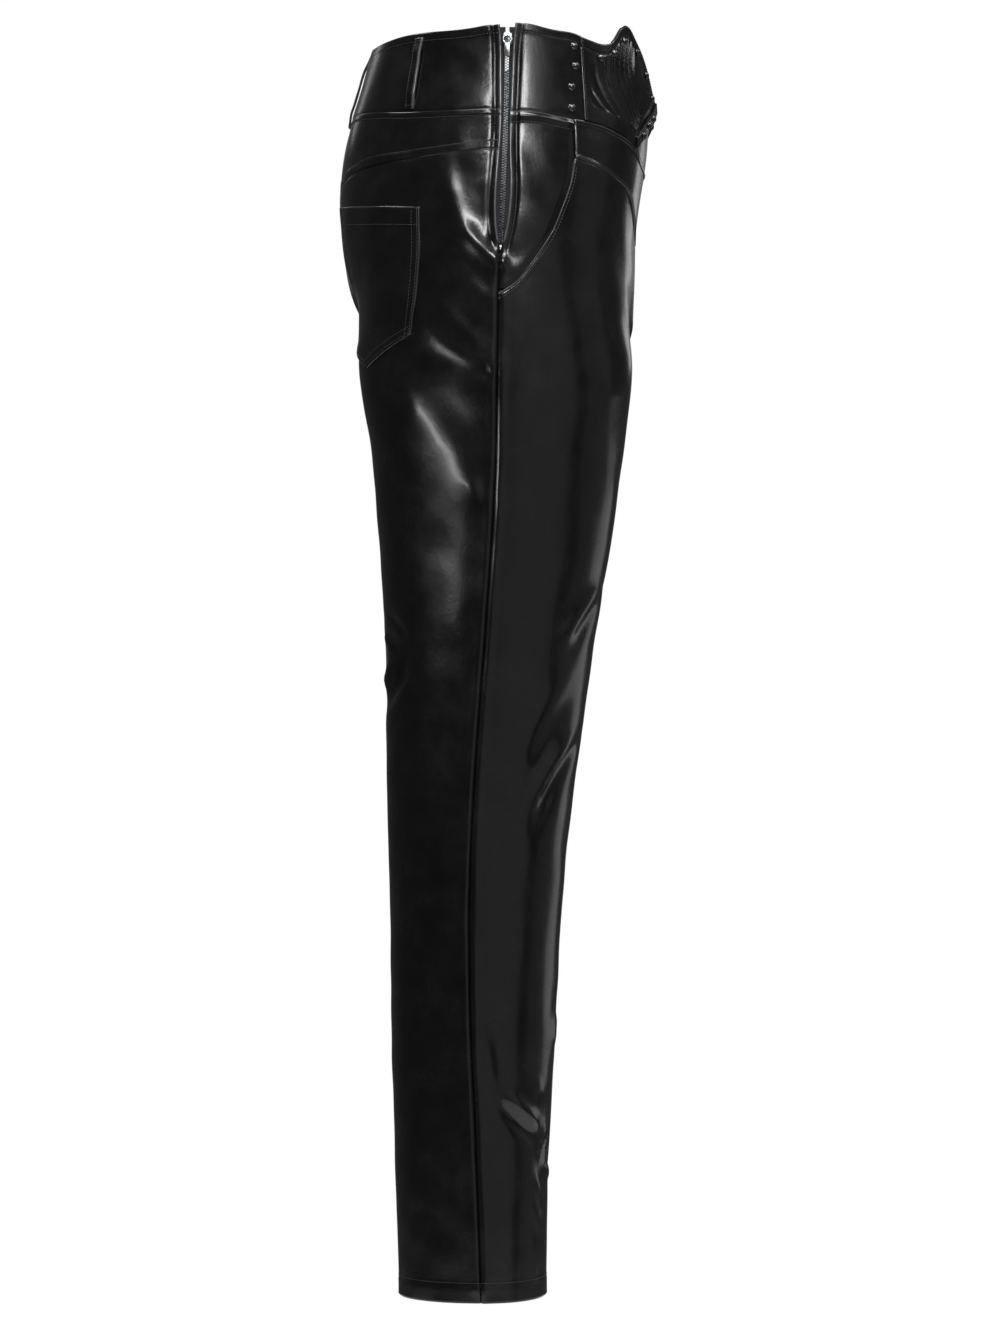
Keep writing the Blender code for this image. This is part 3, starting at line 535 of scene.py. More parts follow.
# ---- building cloth ----------------------------------------------------------------------------
def stations(length, fine=0.9 * MM, coarse=2.8 * MM, first=True, last=True, ease=9 * MM):
    """Shares from 0 to 1 along a strip, close together near its sewn ends."""
    spot = np.linspace(0, length, 800)
    edge = np.full(spot.shape, 1.0)
    if first:
        edge = np.minimum(edge, smooth(spot / ease / 2))
    if last:
        edge = np.minimum(edge, smooth((length - spot) / ease / 2))
    step = mix(fine, coarse, edge)
    count = np.concatenate([[0], np.cumsum(np.diff(spot) / step[1:])])
    return np.interp(np.linspace(0, count[-1], int(count[-1]) + 2), count, spot) / length


class Sheet:
    """The outer face of a piece as a grid of points, with each point's way to the four edges."""

    def __init__(self, place, across, along):
        u, v = np.meshgrid(across, along)
        self.turn, self.height = place(u, v)
        self.base = form(self.turn, self.height)
        self.out = outward(self.turn, self.height)
        side = np.linalg.norm(np.diff(self.base, axis=1), axis=2)
        rise = np.linalg.norm(np.diff(self.base, axis=0), axis=2)
        self.start = np.pad(np.cumsum(side, axis=1), ((0, 0), (1, 0)))
        self.end = self.start[:, -1:] - self.start
        self.foot = np.pad(np.cumsum(rise, axis=0), ((1, 0), (0, 0)))
        self.head = self.foot[-1:, :] - self.foot
        self.points = self.base
        # each point's share of the painted edge highlight
        self.rubbed = np.zeros(self.turn.shape)

    def raise_by(self, relief):
        self.points = self.base + self.out * relief[..., None]

    def rub(self, edge, share=1.0, inset=0.8 * MM, width=0.8 * MM):
        """Paints a lighter colour along a thin line in from an edge: a painted highlight where cloth turned
        over the edge would catch the light.
        """
        distance = getattr(self, edge)
        self.rubbed = np.maximum(self.rubbed, share * hump(distance - inset, width))

    def area(self):
        a = self.base[1:, 1:] - self.base[:-1, :-1]
        b = self.base[1:, :-1] - self.base[:-1, 1:]
        return float(np.linalg.norm(np.cross(a, b), axis=2).sum() / 2)

    def cut(self):
        """Mean width and length of the flat cut."""
        return float(self.start[:, -1].mean()), float(self.foot[-1].mean())

    def line(self, edge, distance, low=0.0, high=1.0):
        """Points and normals of the line this far in from an edge, between two shares of its length."""
        away = getattr(self, edge)
        upright = edge in ("start", "end")
        tables = (away, self.points, self.out)
        if not upright:
            tables = tuple(np.swapaxes(table, 0, 1) for table in tables)
        if edge in ("end", "head"):
            tables = tuple(table[:, ::-1] for table in tables)
        count = len(tables[0])
        spots, outs = [], []
        for row in range(int(low * (count - 1)), int(high * (count - 1)) + 1):
            way = tables[0][row]
            if way[-1] < distance:
                continue
            spots.append([np.interp(distance, way, tables[1][row][:, k]) for k in range(3)])
            outs.append([np.interp(distance, way, tables[2][row][:, k]) for k in range(3)])
        return np.array(spots), np.array(outs)


def face_out(mesh_data):
    bmesh.ops.recalc_face_normals(mesh_data, faces=mesh_data.faces[:])
    if mesh_data.calc_volume(signed=True) < 0:
        bmesh.ops.reverse_faces(mesh_data, faces=mesh_data.faces[:])


def show(name, mesh_data, material, body_name="trousers", sharp=0.9):
    """Store a bmesh as a finished piece that rides on a body."""
    for face in mesh_data.faces:
        face.smooth = True
    for edge in mesh_data.edges:
        if edge.calc_face_angle(0.0) > sharp:
            edge.smooth = False
    mesh = bpy.data.meshes.new(name)
    mesh_data.to_mesh(mesh)
    mesh_data.free()
    mesh.materials.append(material)
    piece = bpy.data.objects.new(name, mesh)
    bpy.context.scene.collection.objects.link(piece)
    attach(piece, body_name)
    return piece


def cloth(name, sheet, finish, side, node=None):
    """A thin wall of cloth from its outer face; the size of its cut is worked out but not used."""
    wall, material, slot = finish
    rows, row_length = sheet.turn.shape
    grid = bmesh.new()
    bmesh.ops.create_grid(grid, x_segments=row_length - 1, y_segments=rows - 1, size=0.5)
    grid.verts.ensure_lookup_table()
    column = np.array([round((vert.co.x + 0.5) * (row_length - 1)) for vert in grid.verts])
    row = np.array([round((vert.co.y + 0.5) * (rows - 1)) for vert in grid.verts])
    outer = sheet.points[row, column].copy()
    inner = outer - sheet.out[row, column] * wall
    centre = (sheet.turn[row, column] < 359.95) & (outer[:, 0] > -10 * MM)
    mirror = -1 if side == "left" else 1
    for points in (outer, inner):
        points[:, 0] = np.where(centre, np.minimum(points[:, 0], -HAIR), points[:, 0]) * mirror
    number = grid.verts.layers.int.new("number")
    # each point's share of the painted edge highlight is stored on the mesh for the shader
    rubbed = grid.verts.layers.float.new("rubbed")
    highlight_share = sheet.rubbed[row, column]
    for index, vert in enumerate(grid.verts):
        vert[number] = index
        vert[rubbed] = highlight_share[index]
        vert.co = outer[index]
    made = bmesh.ops.extrude_face_region(grid, geom=grid.faces[:])
    for item in made["geom"]:
        if isinstance(item, bmesh.types.BMVert):
            item.co = inner[item[number]]
    face_out(grid)
    piece = show(f"{name}_cloth", grid, material)
    width, length = (max(size, LEAST_CUT) for size in sheet.cut())
    area = min(sheet.area(), width * length)
    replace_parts(piece, node or name)


threads = []              # one row of axes and a place for each stitch
STITCH_SHARE = 0.80       # of the pitch that the thread shows
STITCH_LIFT = 0.10 * MM


def stitches(spots, outs, pitch=STITCH):
    """Put a row of stitches along a line."""
    if len(spots) < 2:
        return
    way = np.concatenate([[0], np.cumsum(np.linalg.norm(np.diff(spots, axis=0), axis=1))])
    count = max(1, int(way[-1] / pitch))
    pitch = way[-1] / count
    middle = (np.arange(count) + 0.5) * pitch

    def at(table, where):
        return np.stack([np.interp(where, way, table[:, k]) for k in range(3)], axis=1)

    half = pitch * STITCH_SHARE / 2
    low, high = at(spots, middle - half), at(spots, middle + half)
    along = (high - low) / 2
    out = at(outs, middle)
    across = np.cross(out, along)
    across /= np.linalg.norm(across, axis=1, keepdims=True)
    out = np.cross(along, across)
    out /= np.linalg.norm(out, axis=1, keepdims=True)
    for number in range(count):
        centre = (low[number] + high[number]) / 2 + out[number] * STITCH_LIFT
        threads.append(np.array([across[number] * THREAD, out[number] * THREAD, along[number], centre]))


def make_topstitching():
    """Every stitch is a copy of one small capsule."""
    stitch = bmesh.new()
    bmesh.ops.create_uvsphere(stitch, u_segments=6, v_segments=4, radius=1)
    shape = bpy.data.meshes.new("stitch")
    stitch.to_mesh(shape)
    stitch.free()
    corners = np.array([vert.co for vert in shape.vertices])
    faces = [tuple(face.vertices) for face in shape.polygons]
    placed = np.concatenate([corners @ row[:3] + row[3] for row in threads])
    joined = [tuple(c + k * len(corners) for c in face) for k in range(len(threads)) for face in faces]
    rows = bpy.data.meshes.new("topstitching")
    rows.from_pydata(placed.tolist(), [], joined)
    whole = bmesh.new()
    whole.from_mesh(rows)
    bpy.data.meshes.remove(rows)
    bpy.data.meshes.remove(shape)
    show("topstitching", whole, THREAD_BLACK)


# ---- how sewn edges shape the cloth ------------------------------------------------------------
def rolled(distance, radius=0.9 * MM):
    """A turned edge rounds away."""
    t = np.clip((radius - distance) / radius, 0, 1)
    return -radius * (1 - np.sqrt(1 - t * t * 0.98))


def doubled(distance, end, rise, over=2 * MM):
    """Cloth that is turned under and double up to this far from its edge stands higher there."""
    return rise * (1 - smooth((distance - end) / over))


def stitch_groove(distance, stitch, depth, width=0.7 * MM):
    """A row of stitches pulls a shallow groove into the cloth."""
    return -depth * hump(distance - stitch, width)


def grooved(distance, ripple):
    """A plain seam: both sides puff up a little and then dive into it."""
    puff = (0.45 + 0.15 * ripple) * MM * hump(distance - 4.5 * MM, 3.5 * MM)
    return puff - 1.0 * MM * hump(distance, 1.5 * MM) - 0.6 * MM * hump(distance, 0.7 * MM)


def piped(distance):
    """The bright turned edge of the pocket opening, a firm narrow roll."""
    roll = 0.75 * MM * hump(distance - 0.9 * MM, 0.8 * MM)
    return roll + stitch_groove(distance, 2.4 * MM, 0.25 * MM) + rolled(distance, 0.7 * MM)


def topstitched(distance, stitch, ripple, rise=0.7 * MM):
    """The side of a seam that its allowances lie under: a raised band held by a row of stitches."""
    band = doubled(distance, stitch - 0.6 * MM, rise, 2.2 * MM)
    pucker = 0.22 * MM * ripple * hump(distance - stitch, 7 * MM)
    groove = stitch_groove(distance, stitch, 0.35 * MM, 0.8 * MM)
    return band + groove + pucker + rolled(distance, 0.7 * MM)


def sunk(distance):
    """The lower side of such a seam."""
    return -0.35 * MM * hump(distance, 1.6 * MM)


SIDE_EASE = 30.0          # degrees over which the cloth eases aside for the zip


def beside_zip(height, side):
    """Degrees that a piece leaves free at the side seam."""
    half = zip_half(height) if side == "right" else HAIR
    half = np.where(height < ZIP_OPENING[-1][0], HAIR, half)
    return np.degrees(half / (body["breadth"](np.maximum(height, CROTCH)) / 2))


def on_front(turn, height, side):
    aside = beside_zip(height, side) * smooth((turn - 180 + SIDE_EASE) / SIDE_EASE)
    return np.maximum(turn - aside, CENTRE_EDGE)


def on_back(turn, height, side):
    aside = beside_zip(height, side) * smooth((180 + SIDE_EASE - turn) / SIDE_EASE)
    return np.minimum(turn + aside, 360 - CENTRE_EDGE)


ZIP_STITCH = 6.0 * MM
ZIP_FLAT_RISE = 1.1 * MM  # the turned edges beside the zip stand up towards it


def at_side(sheet, distance, ripple, side):
    """The side edge: beside the zip it is a flat stitched band and then a bulge, below it a seam."""
    seam = grooved(distance, ripple)
    if side == "left":
        return seam
    band = ZIP_FLAT_RISE * np.clip(1 - distance / ZIP_STITCH, 0, 1)
    groove = stitch_groove(distance, ZIP_STITCH, 0.55 * MM, 1.2 * MM)
    beyond = np.clip(distance - ZIP_STITCH, 0, None)
    bulge = (1.15 + 0.35 * ripple) * MM * smooth(beyond / (3.5 * MM)) * hump(beyond, 15 * MM)
    zipped = band + groove + bulge + rolled(distance, 1.1 * MM)
    return mix(seam, zipped, smooth((sheet.height - ZIP_END + 0.010) / 0.014))


def at_zip(sheet, side):
    """1 beside the open part of the zip's seam, 0 below it and on the left."""
    return smooth((sheet.height - ZIP_END) / (6 * MM)) * (side == "right")


def calm(sheet, seed):
    """Slow unevenness of worn cloth, and the short ripples along its seams."""
    slow = 0.55 * MM * waves(sheet.base, 0.075, seed) + 0.30 * MM * waves(sheet.base, 0.032, seed + 3)
    return slow, waves(sheet.base, 0.030, seed + 6)


def sew(sheet, side, edge, distance, low=0.0, high=1.0, **how):
    """A row of stitches this far in from an edge, mirrored on the left half."""
    spots, outs = sheet.line(edge, distance, low, high)
    flip = np.array([-1, 1, 1])
    if side == "left" and len(spots):
        spots, outs = spots * flip, outs * flip
    stitches(spots, outs, **how)


# ---- legs --------------------------------------------------------------------------------------
YOKE_SHARE = 8 / 14       # of a front leg's top edge lies under the yoke, the rest at the opening
HEM_DEPTH = 17.5 * MM
OPENING_STITCH = 6.0 * MM
ACROSS_LEG = stations(0.25, fine=0.9 * MM, coarse=3.3 * MM)


def front_leg_top(u):
    """The front yoke's lower seam, then the pocket opening."""
    on_yoke = u <= YOKE_SHARE
    yoke_turn = OPENING[1][1] * u / YOKE_SHARE
    drop = mix(OPENING[1][0], OPENING[-1][0], (u - YOKE_SHARE) / (1 - YOKE_SHARE))
    turn = np.where(on_yoke, yoke_turn, opening_turn(drop))
    height = np.where(on_yoke, yoke_front(yoke_turn), drop)
    return turn, height - HAIR


def back_leg_top(u):
    turn = mix(180, 360, u)
    return turn, yoke_back(turn) - HAIR


def leg_rows(fork_top):
    """Heights from the hem up, closest together at the hem and at the crotch."""
    leg_part = HEM + (CROTCH - HEM) * stations(CROTCH - HEM, coarse=3.8 * MM, last=False)
    turn_in = np.radians(np.linspace(90, 0, 40))
    return np.concatenate([leg_part[:-1], fork_top + (CROTCH - fork_top) * np.sin(turn_in)])


def leg_sheet(top, fork_top, start, held, side):
    heights = leg_rows(fork_top)
    upper = stations(0.085, fine=0.7 * MM, coarse=2.6 * MM, first=False)[1:]
    rows = np.concatenate([np.arange(len(heights)), len(heights) - 1 + upper])

    def place(u, v):
        low = np.interp(v, range(len(heights)), heights)
        climb = np.clip(v - len(heights) + 1, 0, 1)
        top_turn, top_height = top(u)
        turn = mix(mix(start, start + 180, u), top_turn, climb)
        height = mix(low, top_height, climb)
        return held(turn, height, side), height

    return Sheet(place, ACROSS_LEG, rows)


def hem_relief(sheet, ripple):
    """The hem is turned up once, sewn down, and puckers between its edge and the stitches."""
    step = doubled(sheet.foot, HEM_DEPTH - 1 * MM, 0.45 * MM, 1.6 * MM)
    groove = stitch_groove(sheet.foot, HEM_DEPTH, 0.45 * MM, 0.9 * MM)
    pucker = 0.5 * MM * waves(sheet.base * (1, 1, 0.35), 0.010, 21)
    pucker *= hump(sheet.foot - HEM_DEPTH / 2, 9 * MM) * (0.25 + hump(np.abs(sheet.turn - 180), 14))
    sway = 0.1 * MM * ripple * hump(sheet.foot, 0.02)
    return step + groove + pucker + rolled(sheet.foot, 1.1 * MM) + sway


def make_front_leg(side):
    sheet = leg_sheet(front_leg_top, FORK_FRONT, 0, on_front, side)
    slow, ripple = calm(sheet, 1)
    opening = smooth((ACROSS_LEG[None, :] + 0 * sheet.turn - YOKE_SHARE + 0.01) / 0.03)
    edge = piped(sheet.head) + stitch_groove(sheet.head, OPENING_STITCH, 0.30 * MM, 0.9 * MM)
    edge += doubled(sheet.head, OPENING_STITCH, 0.35 * MM, 3 * MM)
    side_seam = grooved(sheet.end, ripple) * (1 - opening * hump(sheet.head, 4 * MM))
    sheet.raise_by(
        slow + fold_relief(sheet.turn, sheet.height) + hem_relief(sheet, ripple)
        + mix(sunk(sheet.head), edge, opening) + grooved(sheet.start, ripple) + side_seam)
    sheet.rub("head", opening)
    cloth(f"front_leg_{side}", sheet, MAIN, side, f"leg_front_{side}")
    first = float(np.searchsorted(ACROSS_LEG, YOKE_SHARE)) / len(ACROSS_LEG)
    sew(sheet, side, "head", OPENING_STITCH, first + 0.01, 0.985)
    sew(sheet, side, "foot", HEM_DEPTH)


def make_back_leg(side):
    sheet = leg_sheet(back_leg_top, FORK_BACK, 180, on_back, side)
    slow, ripple = calm(sheet, 2)
    sheet.raise_by(
        slow + fold_relief(sheet.turn, sheet.height) + hem_relief(sheet, ripple)
        + sunk(sheet.head) + at_side(sheet, sheet.start, ripple, side) + grooved(sheet.end, ripple))
    sheet.rub("start", at_zip(sheet, side))
    cloth(f"back_leg_{side}", sheet, MAIN, side, f"leg_back_{side}")
    sew(sheet, side, "foot", HEM_DEPTH)


# ---- facing, yokes and waistband ---------------------------------------------------------------
FACING_STITCHES = (1.8 * MM, 10.0 * MM)
FRONT_YOKE_STITCHES = {"head": 4.2 * MM, "foot": 3.4 * MM}
BACK_YOKE_STITCHES = {"head": 6.0 * MM, "foot": 7.6 * MM}
BAND_STITCH = 7.5 * MM


def make_hip_facing(side):
    shared = np.linspace(OPENING[-1][0], OPENING[1][0], 60)

    def place(u, v):
        row = mix(FACING_END, OPENING[0][0], v)
        edge = np.interp(row, shared, opening_turn(shared)) + FACING_HAIR
        turn = mix(edge, 180, u)
        height = mix(FACING_END, band_front(turn) - HAIR, v)
        return on_front(turn, height, side), height

    across = stations(0.06, fine=0.7 * MM, coarse=1.6 * MM)
    sheet = Sheet(place, across, stations(0.15, fine=0.8 * MM, coarse=1.8 * MM))
    slow, ripple = calm(sheet, 3)
    under = -0.9 * MM * (1 - smooth(sheet.start / (7 * MM)))
    puckers = waves(sheet.base * (1, 1, 0.4), 0.012, 17)
    tube = (1.3 + 0.5 * puckers) * MM * hump(sheet.head - 5.0 * MM, 3.2 * MM)
    sheet.raise_by(
        slow + under + fold_relief(sheet.turn, sheet.height) + at_side(sheet, sheet.end, ripple, side)
        + tube + topstitched(sheet.head, FACING_STITCHES[1], ripple, 0.5 * MM))
    sheet.rub("end", at_zip(sheet, side))
    sheet.rub("head", 0.5)
    cloth(f"hip_facing_{side}", sheet, MAIN, side)
    for stitch in FACING_STITCHES:
        sew(sheet, side, "head", stitch, 0.02, 0.93)
    if side == "right":
        rows = sheet.height[:, 0]
        below_zip = float((rows < ZIP_END - 3 * MM).sum()) / len(rows)
        sew(sheet, side, "end", ZIP_STITCH, below_zip, 1.0)


def band_sheet(low, high, start, end, held, side, length, width):
    """A strip round the body between two seams."""
    def place(u, v):
        turn = mix(start, end, u)
        height = mix(low(turn) + HAIR, high(turn) - HAIR, v)
        return held(turn, height, side), height

    return Sheet(place, stations(length), stations(width, fine=0.7 * MM, coarse=2.0 * MM))


def make_front_yoke(side):
    end = OPENING[0][1] - FACING_HAIR
    sheet = band_sheet(yoke_front, band_front, 0, end, on_front, side, 0.17, 0.05)
    slow, ripple = calm(sheet, 4)
    relief = slow + grooved(sheet.start, ripple) + rolled(sheet.end)
    for edge, stitch in FRONT_YOKE_STITCHES.items():
        relief += topstitched(getattr(sheet, edge), stitch, ripple)
    sheet.raise_by(relief)
    for edge, share in (("head", 0.5), ("foot", 0.3), ("end", 0.4)):
        sheet.rub(edge, share)
    cloth(f"yoke_front_{side}", sheet, MAIN, side)
    for edge, stitch in FRONT_YOKE_STITCHES.items():
        sew(sheet, side, edge, stitch)


def make_back_yoke(side):
    sheet = band_sheet(yoke_back, band_back, 180, 360, on_back, side, 0.25, 0.045)
    slow, ripple = calm(sheet, 5)
    sheet.raise_by(
        slow + topstitched(sheet.head, BACK_YOKE_STITCHES["head"], ripple, 0.35 * MM)
        + topstitched(sheet.foot, BACK_YOKE_STITCHES["foot"], ripple, 0.45 * MM)
        + at_side(sheet, sheet.start, ripple, side) + grooved(sheet.end, ripple))
    sheet.rub("start", at_zip(sheet, side))
    cloth(f"yoke_back_{side}", sheet, MAIN, side)
    for edge, stitch in BACK_YOKE_STITCHES.items():
        sew(sheet, side, edge, stitch, 0.03, 1)
    if side == "right":
        sew(sheet, side, "start", ZIP_STITCH)


def make_waistband_half(half, sheet, seed, at_hip, at_centre, stitched, side):
    """at_hip and at_centre name the sheet's edges there; stitched says where its top stitches show."""
    slow, ripple = calm(sheet, seed)
    top = doubled(sheet.head, BAND_STITCH, 0.4 * MM)
    top += stitch_groove(sheet.head, BAND_STITCH, 0.3 * MM, 0.8 * MM) + rolled(sheet.head)
    sheet.raise_by(
        0.7 * slow + sunk(sheet.foot) + at_side(sheet, getattr(sheet, at_hip), ripple, side)
        + top + grooved(getattr(sheet, at_centre), ripple))
    sheet.rub(at_hip, at_zip(sheet, side))
    cloth(f"waistband_{half}_{side}", sheet, MAIN, side)
    sew(sheet, side, "head", BAND_STITCH, *stitched)
    if side == "right":
        sew(sheet, side, at_hip, ZIP_STITCH)


def make_waistband(side):
    front = band_sheet(band_front, top_front, 0, 180, on_front, side, 0.22, 0.075)
    make_waistband_half("front", front, 7, "end", "start", (0.66, 0.97), side)
    back = band_sheet(band_back, top_back, 180, 360, on_back, side, 0.22, 0.07)
    make_waistband_half("back", back, 8, "start", "end", (0.03, 1), side)


# ---- wings -------------------------------------------------------------------------------------
WING_BORDER = 9.0 * MM
WING_STITCHES = (("head", 1.8 * MM), ("head", WING_BORDER), ("end", 2.2 * MM))
STRIP_STITCH = 1.5 * MM
FAN_TURN = 34.0           # the root of the pressed fan
FAN_ROOT = -0.062
FAN_CREASES = 25.0        # pi times the number of creases in a radian
FAN_HEIGHT = 1.9 * MM


def wing_lift(turn):
    """The wing lies on the waistband and stands off it towards the centre front."""
    return SEAM + LAYER + WING_STAND * np.exp(-np.asarray(turn) / WING_STAND_REACH)


def wing_low(turn):
    return np.where(turn < WING_FOOT[-1][0], wing_foot(turn), band_front(turn) + SEAM)


def fan(sheet):
    """Pressed creases that spread from low on the wing, a plain fan of uneven pleats."""
    x = (sheet.turn - FAN_TURN) * PER_DEGREE
    z = sheet.height - FAN_ROOT
    along = np.hypot(x, z)
    bend = 5.5 * (along - 0.07)
    angle = np.arctan2(z, x) - bend + 0.10 * waves(sheet.base, 0.070, 31)
    phase = angle * FAN_CREASES + 1.0 * waves(sheet.base, 0.045, 32)
    share = phase / math.pi - np.floor(phase / math.pi)
    crest = np.where(share < 0.68, share / 0.68, (1 - share) / 0.32) ** 1.4
    uneven = np.clip(0.80 + 0.50 * waves(sheet.base, 0.030, 33), 0.15, 1.5)
    fade = smooth((along - 0.022) / 0.02) * smooth((0.135 - along) / 0.03)
    edge = np.minimum(sheet.head - WING_BORDER, sheet.foot - 13 * MM)
    inside = smooth(edge / (3 * MM)) * smooth((sheet.end - 6 * MM) / (8 * MM))
    return FAN_HEIGHT * (crest - 0.4) * uneven * fade * inside


def make_wing(side):
    def place(u, v):
        turn = mix(0, WING_EDGE, u)
        height = mix(wing_low(turn), wing_top(turn), v)
        return on_front(turn, height, side), height

    across = stations(0.17, fine=0.7 * MM, coarse=1.25 * MM)
    sheet = Sheet(place, across, stations(0.08, fine=0.65 * MM, coarse=0.95 * MM))
    slow, _ = calm(sheet, 9)
    border = doubled(sheet.head, WING_BORDER - 1 * MM, 0.5 * MM, 1.6 * MM)
    border += stitch_groove(sheet.head, WING_BORDER, 0.4 * MM, 0.8 * MM)
    sheet.raise_by(
        wing_lift(sheet.turn) + 0.5 * slow + border + fan(sheet)
        + rolled(sheet.head) + rolled(sheet.end) + rolled(sheet.start))
    sheet.rub("head", 0.3)
    cloth(f"wing_{side}", sheet, TRIM, side)
    for edge, stitch in WING_STITCHES:
        sew(sheet, side, edge, stitch)


def make_wing_strip(side):
    def place(u, v):
        turn = mix(STRIP[0][0], STRIP[-1][0], u)
        return turn, mix(strip["lower"](turn), strip["upper"](turn), v)

    across = stations(0.1, fine=0.7 * MM, coarse=1.6 * MM)
    sheet = Sheet(place, across, stations(0.010, fine=0.5 * MM, coarse=0.7 * MM, ease=2 * MM))
    rim = rolled(sheet.head, 0.6 * MM) + rolled(sheet.foot, 0.6 * MM)
    rim += rolled(sheet.end) + rolled(sheet.start)
    sheet.raise_by(
        wing_lift(sheet.turn) + SEAM + LAYER + rim + 0.15 * MM * waves(sheet.base, 0.050, 12))
    cloth(f"wing_strip_{side}", sheet, TRIM, side)
    for edge in ("head", "foot"):
        sew(sheet, side, edge, STRIP_STITCH)


# ---- pockets and belt loops --------------------------------------------------------------------
POCKET_HEM = 16 * MM
POCKET_STITCHES = (2.6 * MM, 8.0 * MM)
LOOP_STITCH = 2.0 * MM
LOOP_TACK = 3.0 * MM      # the closer stitches across its two ends


def make_pocket(side):
    def place(u, v):
        level = mix(POCKET[0][0], POCKET[-1][0], v)
        turn = mix(pocket["near"](level), pocket["far"](level), u)
        point = POCKET_POINT * (1 - np.abs(2 * u - 1)) * (1 - v)
        return turn, level + POCKET_TILT * u * v - point

    across = stations(0.135, fine=0.7 * MM, coarse=1.8 * MM)
    sheet = Sheet(place, across, stations(0.125, fine=0.7 * MM, coarse=1.8 * MM))
    slow, ripple = calm(sheet, 2)
    edge = np.minimum(np.minimum(sheet.start, sheet.end), sheet.foot)
    near, far = POCKET_STITCHES
    border = doubled(edge, far, 0.25 * MM) + stitch_groove(edge, near, 0.2 * MM)
    border += stitch_groove(edge, far, 0.25 * MM) + 0.12 * MM * ripple * hump(edge - 5 * MM, 5 * MM)
    mouth = doubled(sheet.head, POCKET_HEM, 0.3 * MM) + stitch_groove(sheet.head, POCKET_HEM, 0.25 * MM)
    sheet.raise_by(
        POCKET_LAYER + slow + fold_relief(sheet.turn, sheet.height) + border + mouth
        + rolled(edge) + rolled(sheet.head))
    for name in ("head", "start"):
        sheet.rub(name, 0.25)
    cloth(f"back_pocket_{side}", sheet, TRIM, side)
    for name in ("start", "end", "foot"):
        sew(sheet, side, name, near, 0.02, 0.98)
        sew(sheet, side, name, far, 0.06, 0.94)
    sew(sheet, side, "head", POCKET_HEM, 0.02, 0.98)


def make_belt_loop(name, turn, side):
    half = math.degrees(LOOP_WIDTH / 2 / LOOP_RADIUS)

    def place(u, v):
        return mix(turn - half, turn + half, u), mix(LOOP_FOOT, LOOP_TOP, v)

    across = stations(LOOP_WIDTH, fine=0.45 * MM, coarse=0.6 * MM, ease=2 * MM)
    sheet = Sheet(place, across, stations(0.064, fine=0.6 * MM, coarse=1.2 * MM))
    bow = smooth(np.minimum(sheet.foot, sheet.head) / (16 * MM))
    edge = np.minimum(sheet.start, sheet.end)
    sheet.raise_by(
        LOOP_LAYER + LOOP_RISE * bow + rolled(edge, 0.8 * MM) + rolled(sheet.head) + rolled(sheet.foot)
        + stitch_groove(edge, LOOP_STITCH, 0.35 * MM, 0.5 * MM)
        + 0.2 * MM * waves(sheet.base, 0.014, 14))
    sheet.rub("start")
    cloth(name, sheet, TRIM, side)
    for edge_name in ("start", "end"):
        sew(sheet, side, edge_name, LOOP_STITCH)
    for edge_name in ("head", "foot"):
        sew(sheet, side, edge_name, LOOP_TACK, 0.1, 0.9, pitch=1.6 * MM)


# ---- studs -------------------------------------------------------------------------------------
STUD_PROFILE = (          # radius and rise in millimetres, from the collar to the crown
    (3.60, 0.00), (3.60, 0.35), (3.42, 0.55), (3.20, 0.62), (3.05, 0.80), (2.80, 1.30),
    (2.35, 1.82), (1.75, 2.22), (1.00, 2.46), (0.00, 2.55),
)


def make_stud(name, turn, height, lift, side):
    """A domed stud with a low collar, spun about its own axis."""
    centre = Vector(form(turn, height) + outward(np.array(turn), np.array(height)) * lift)
    out = Vector(outward(np.array(turn), np.array(height)))
    if side == "left":
        centre.x, out.x = -centre.x, -out.x
    dome = bmesh.new()
    outline = [dome.verts.new((0, 0, 0))]
    outline += [dome.verts.new((radius * MM, 0, rise * MM)) for radius, rise in STUD_PROFILE]
    edges = [dome.edges.new(pair) for pair in zip(outline, outline[1:])]
    bmesh.ops.spin(
        dome, geom=outline + edges, cent=(0, 0, 0), axis=(0, 0, 1), dvec=(0, 0, 0),
        angle=2 * math.pi, steps=28, use_merge=True, use_duplicate=False)
    bmesh.ops.remove_doubles(dome, verts=dome.verts[:], dist=0.01 * MM)
    turned = Matrix.Translation(centre) @ out.to_track_quat("Z", "Y").to_matrix().to_4x4()
    bmesh.ops.transform(dome, matrix=turned, verts=dome.verts[:])
    face_out(dome)
    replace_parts(show(f"{name}_dome", dome, STUD_METAL), name)


def make_studs(side):
    groups = (
        ("band", BAND_STUDS, lambda turn: STUD_LIFT),
        ("wing", WING_STUDS, lambda turn: wing_lift(turn) + STUD_LIFT),
        ("strip", STRIP_STUDS, lambda turn: wing_lift(turn) + SEAM + LAYER + STUD_LIFT / 2),
    )
    for group, rows, lift in groups:
        for number, (turn, height) in enumerate(rows, 1):
            make_stud(f"stud_{group}_{number}_{side}", turn, height, lift(turn), side)


# ---- zip ---------------------------------------------------------------------------------------
TOOTH_PITCH = 2.3 * MM
TOOTH_HEAD = (1.6 * MM, 1.5 * MM, 1.0 * MM)
TOOTH_NOSE = (1.6 * MM, 0.9 * MM, 0.6 * MM)
TOOTH_UNDER = 1.3 * MM
HEAD_ASIDE = 1.35 * MM
NOSE_ASIDE = 0.35 * MM
NOSE_LOWER = 0.60 * MM


def zip_turn(across, height):
    """Turn of a line at this distance from the middle of the zip, to the front if positive."""
    return 180 - np.degrees(across / (body["breadth"](height) / 2))


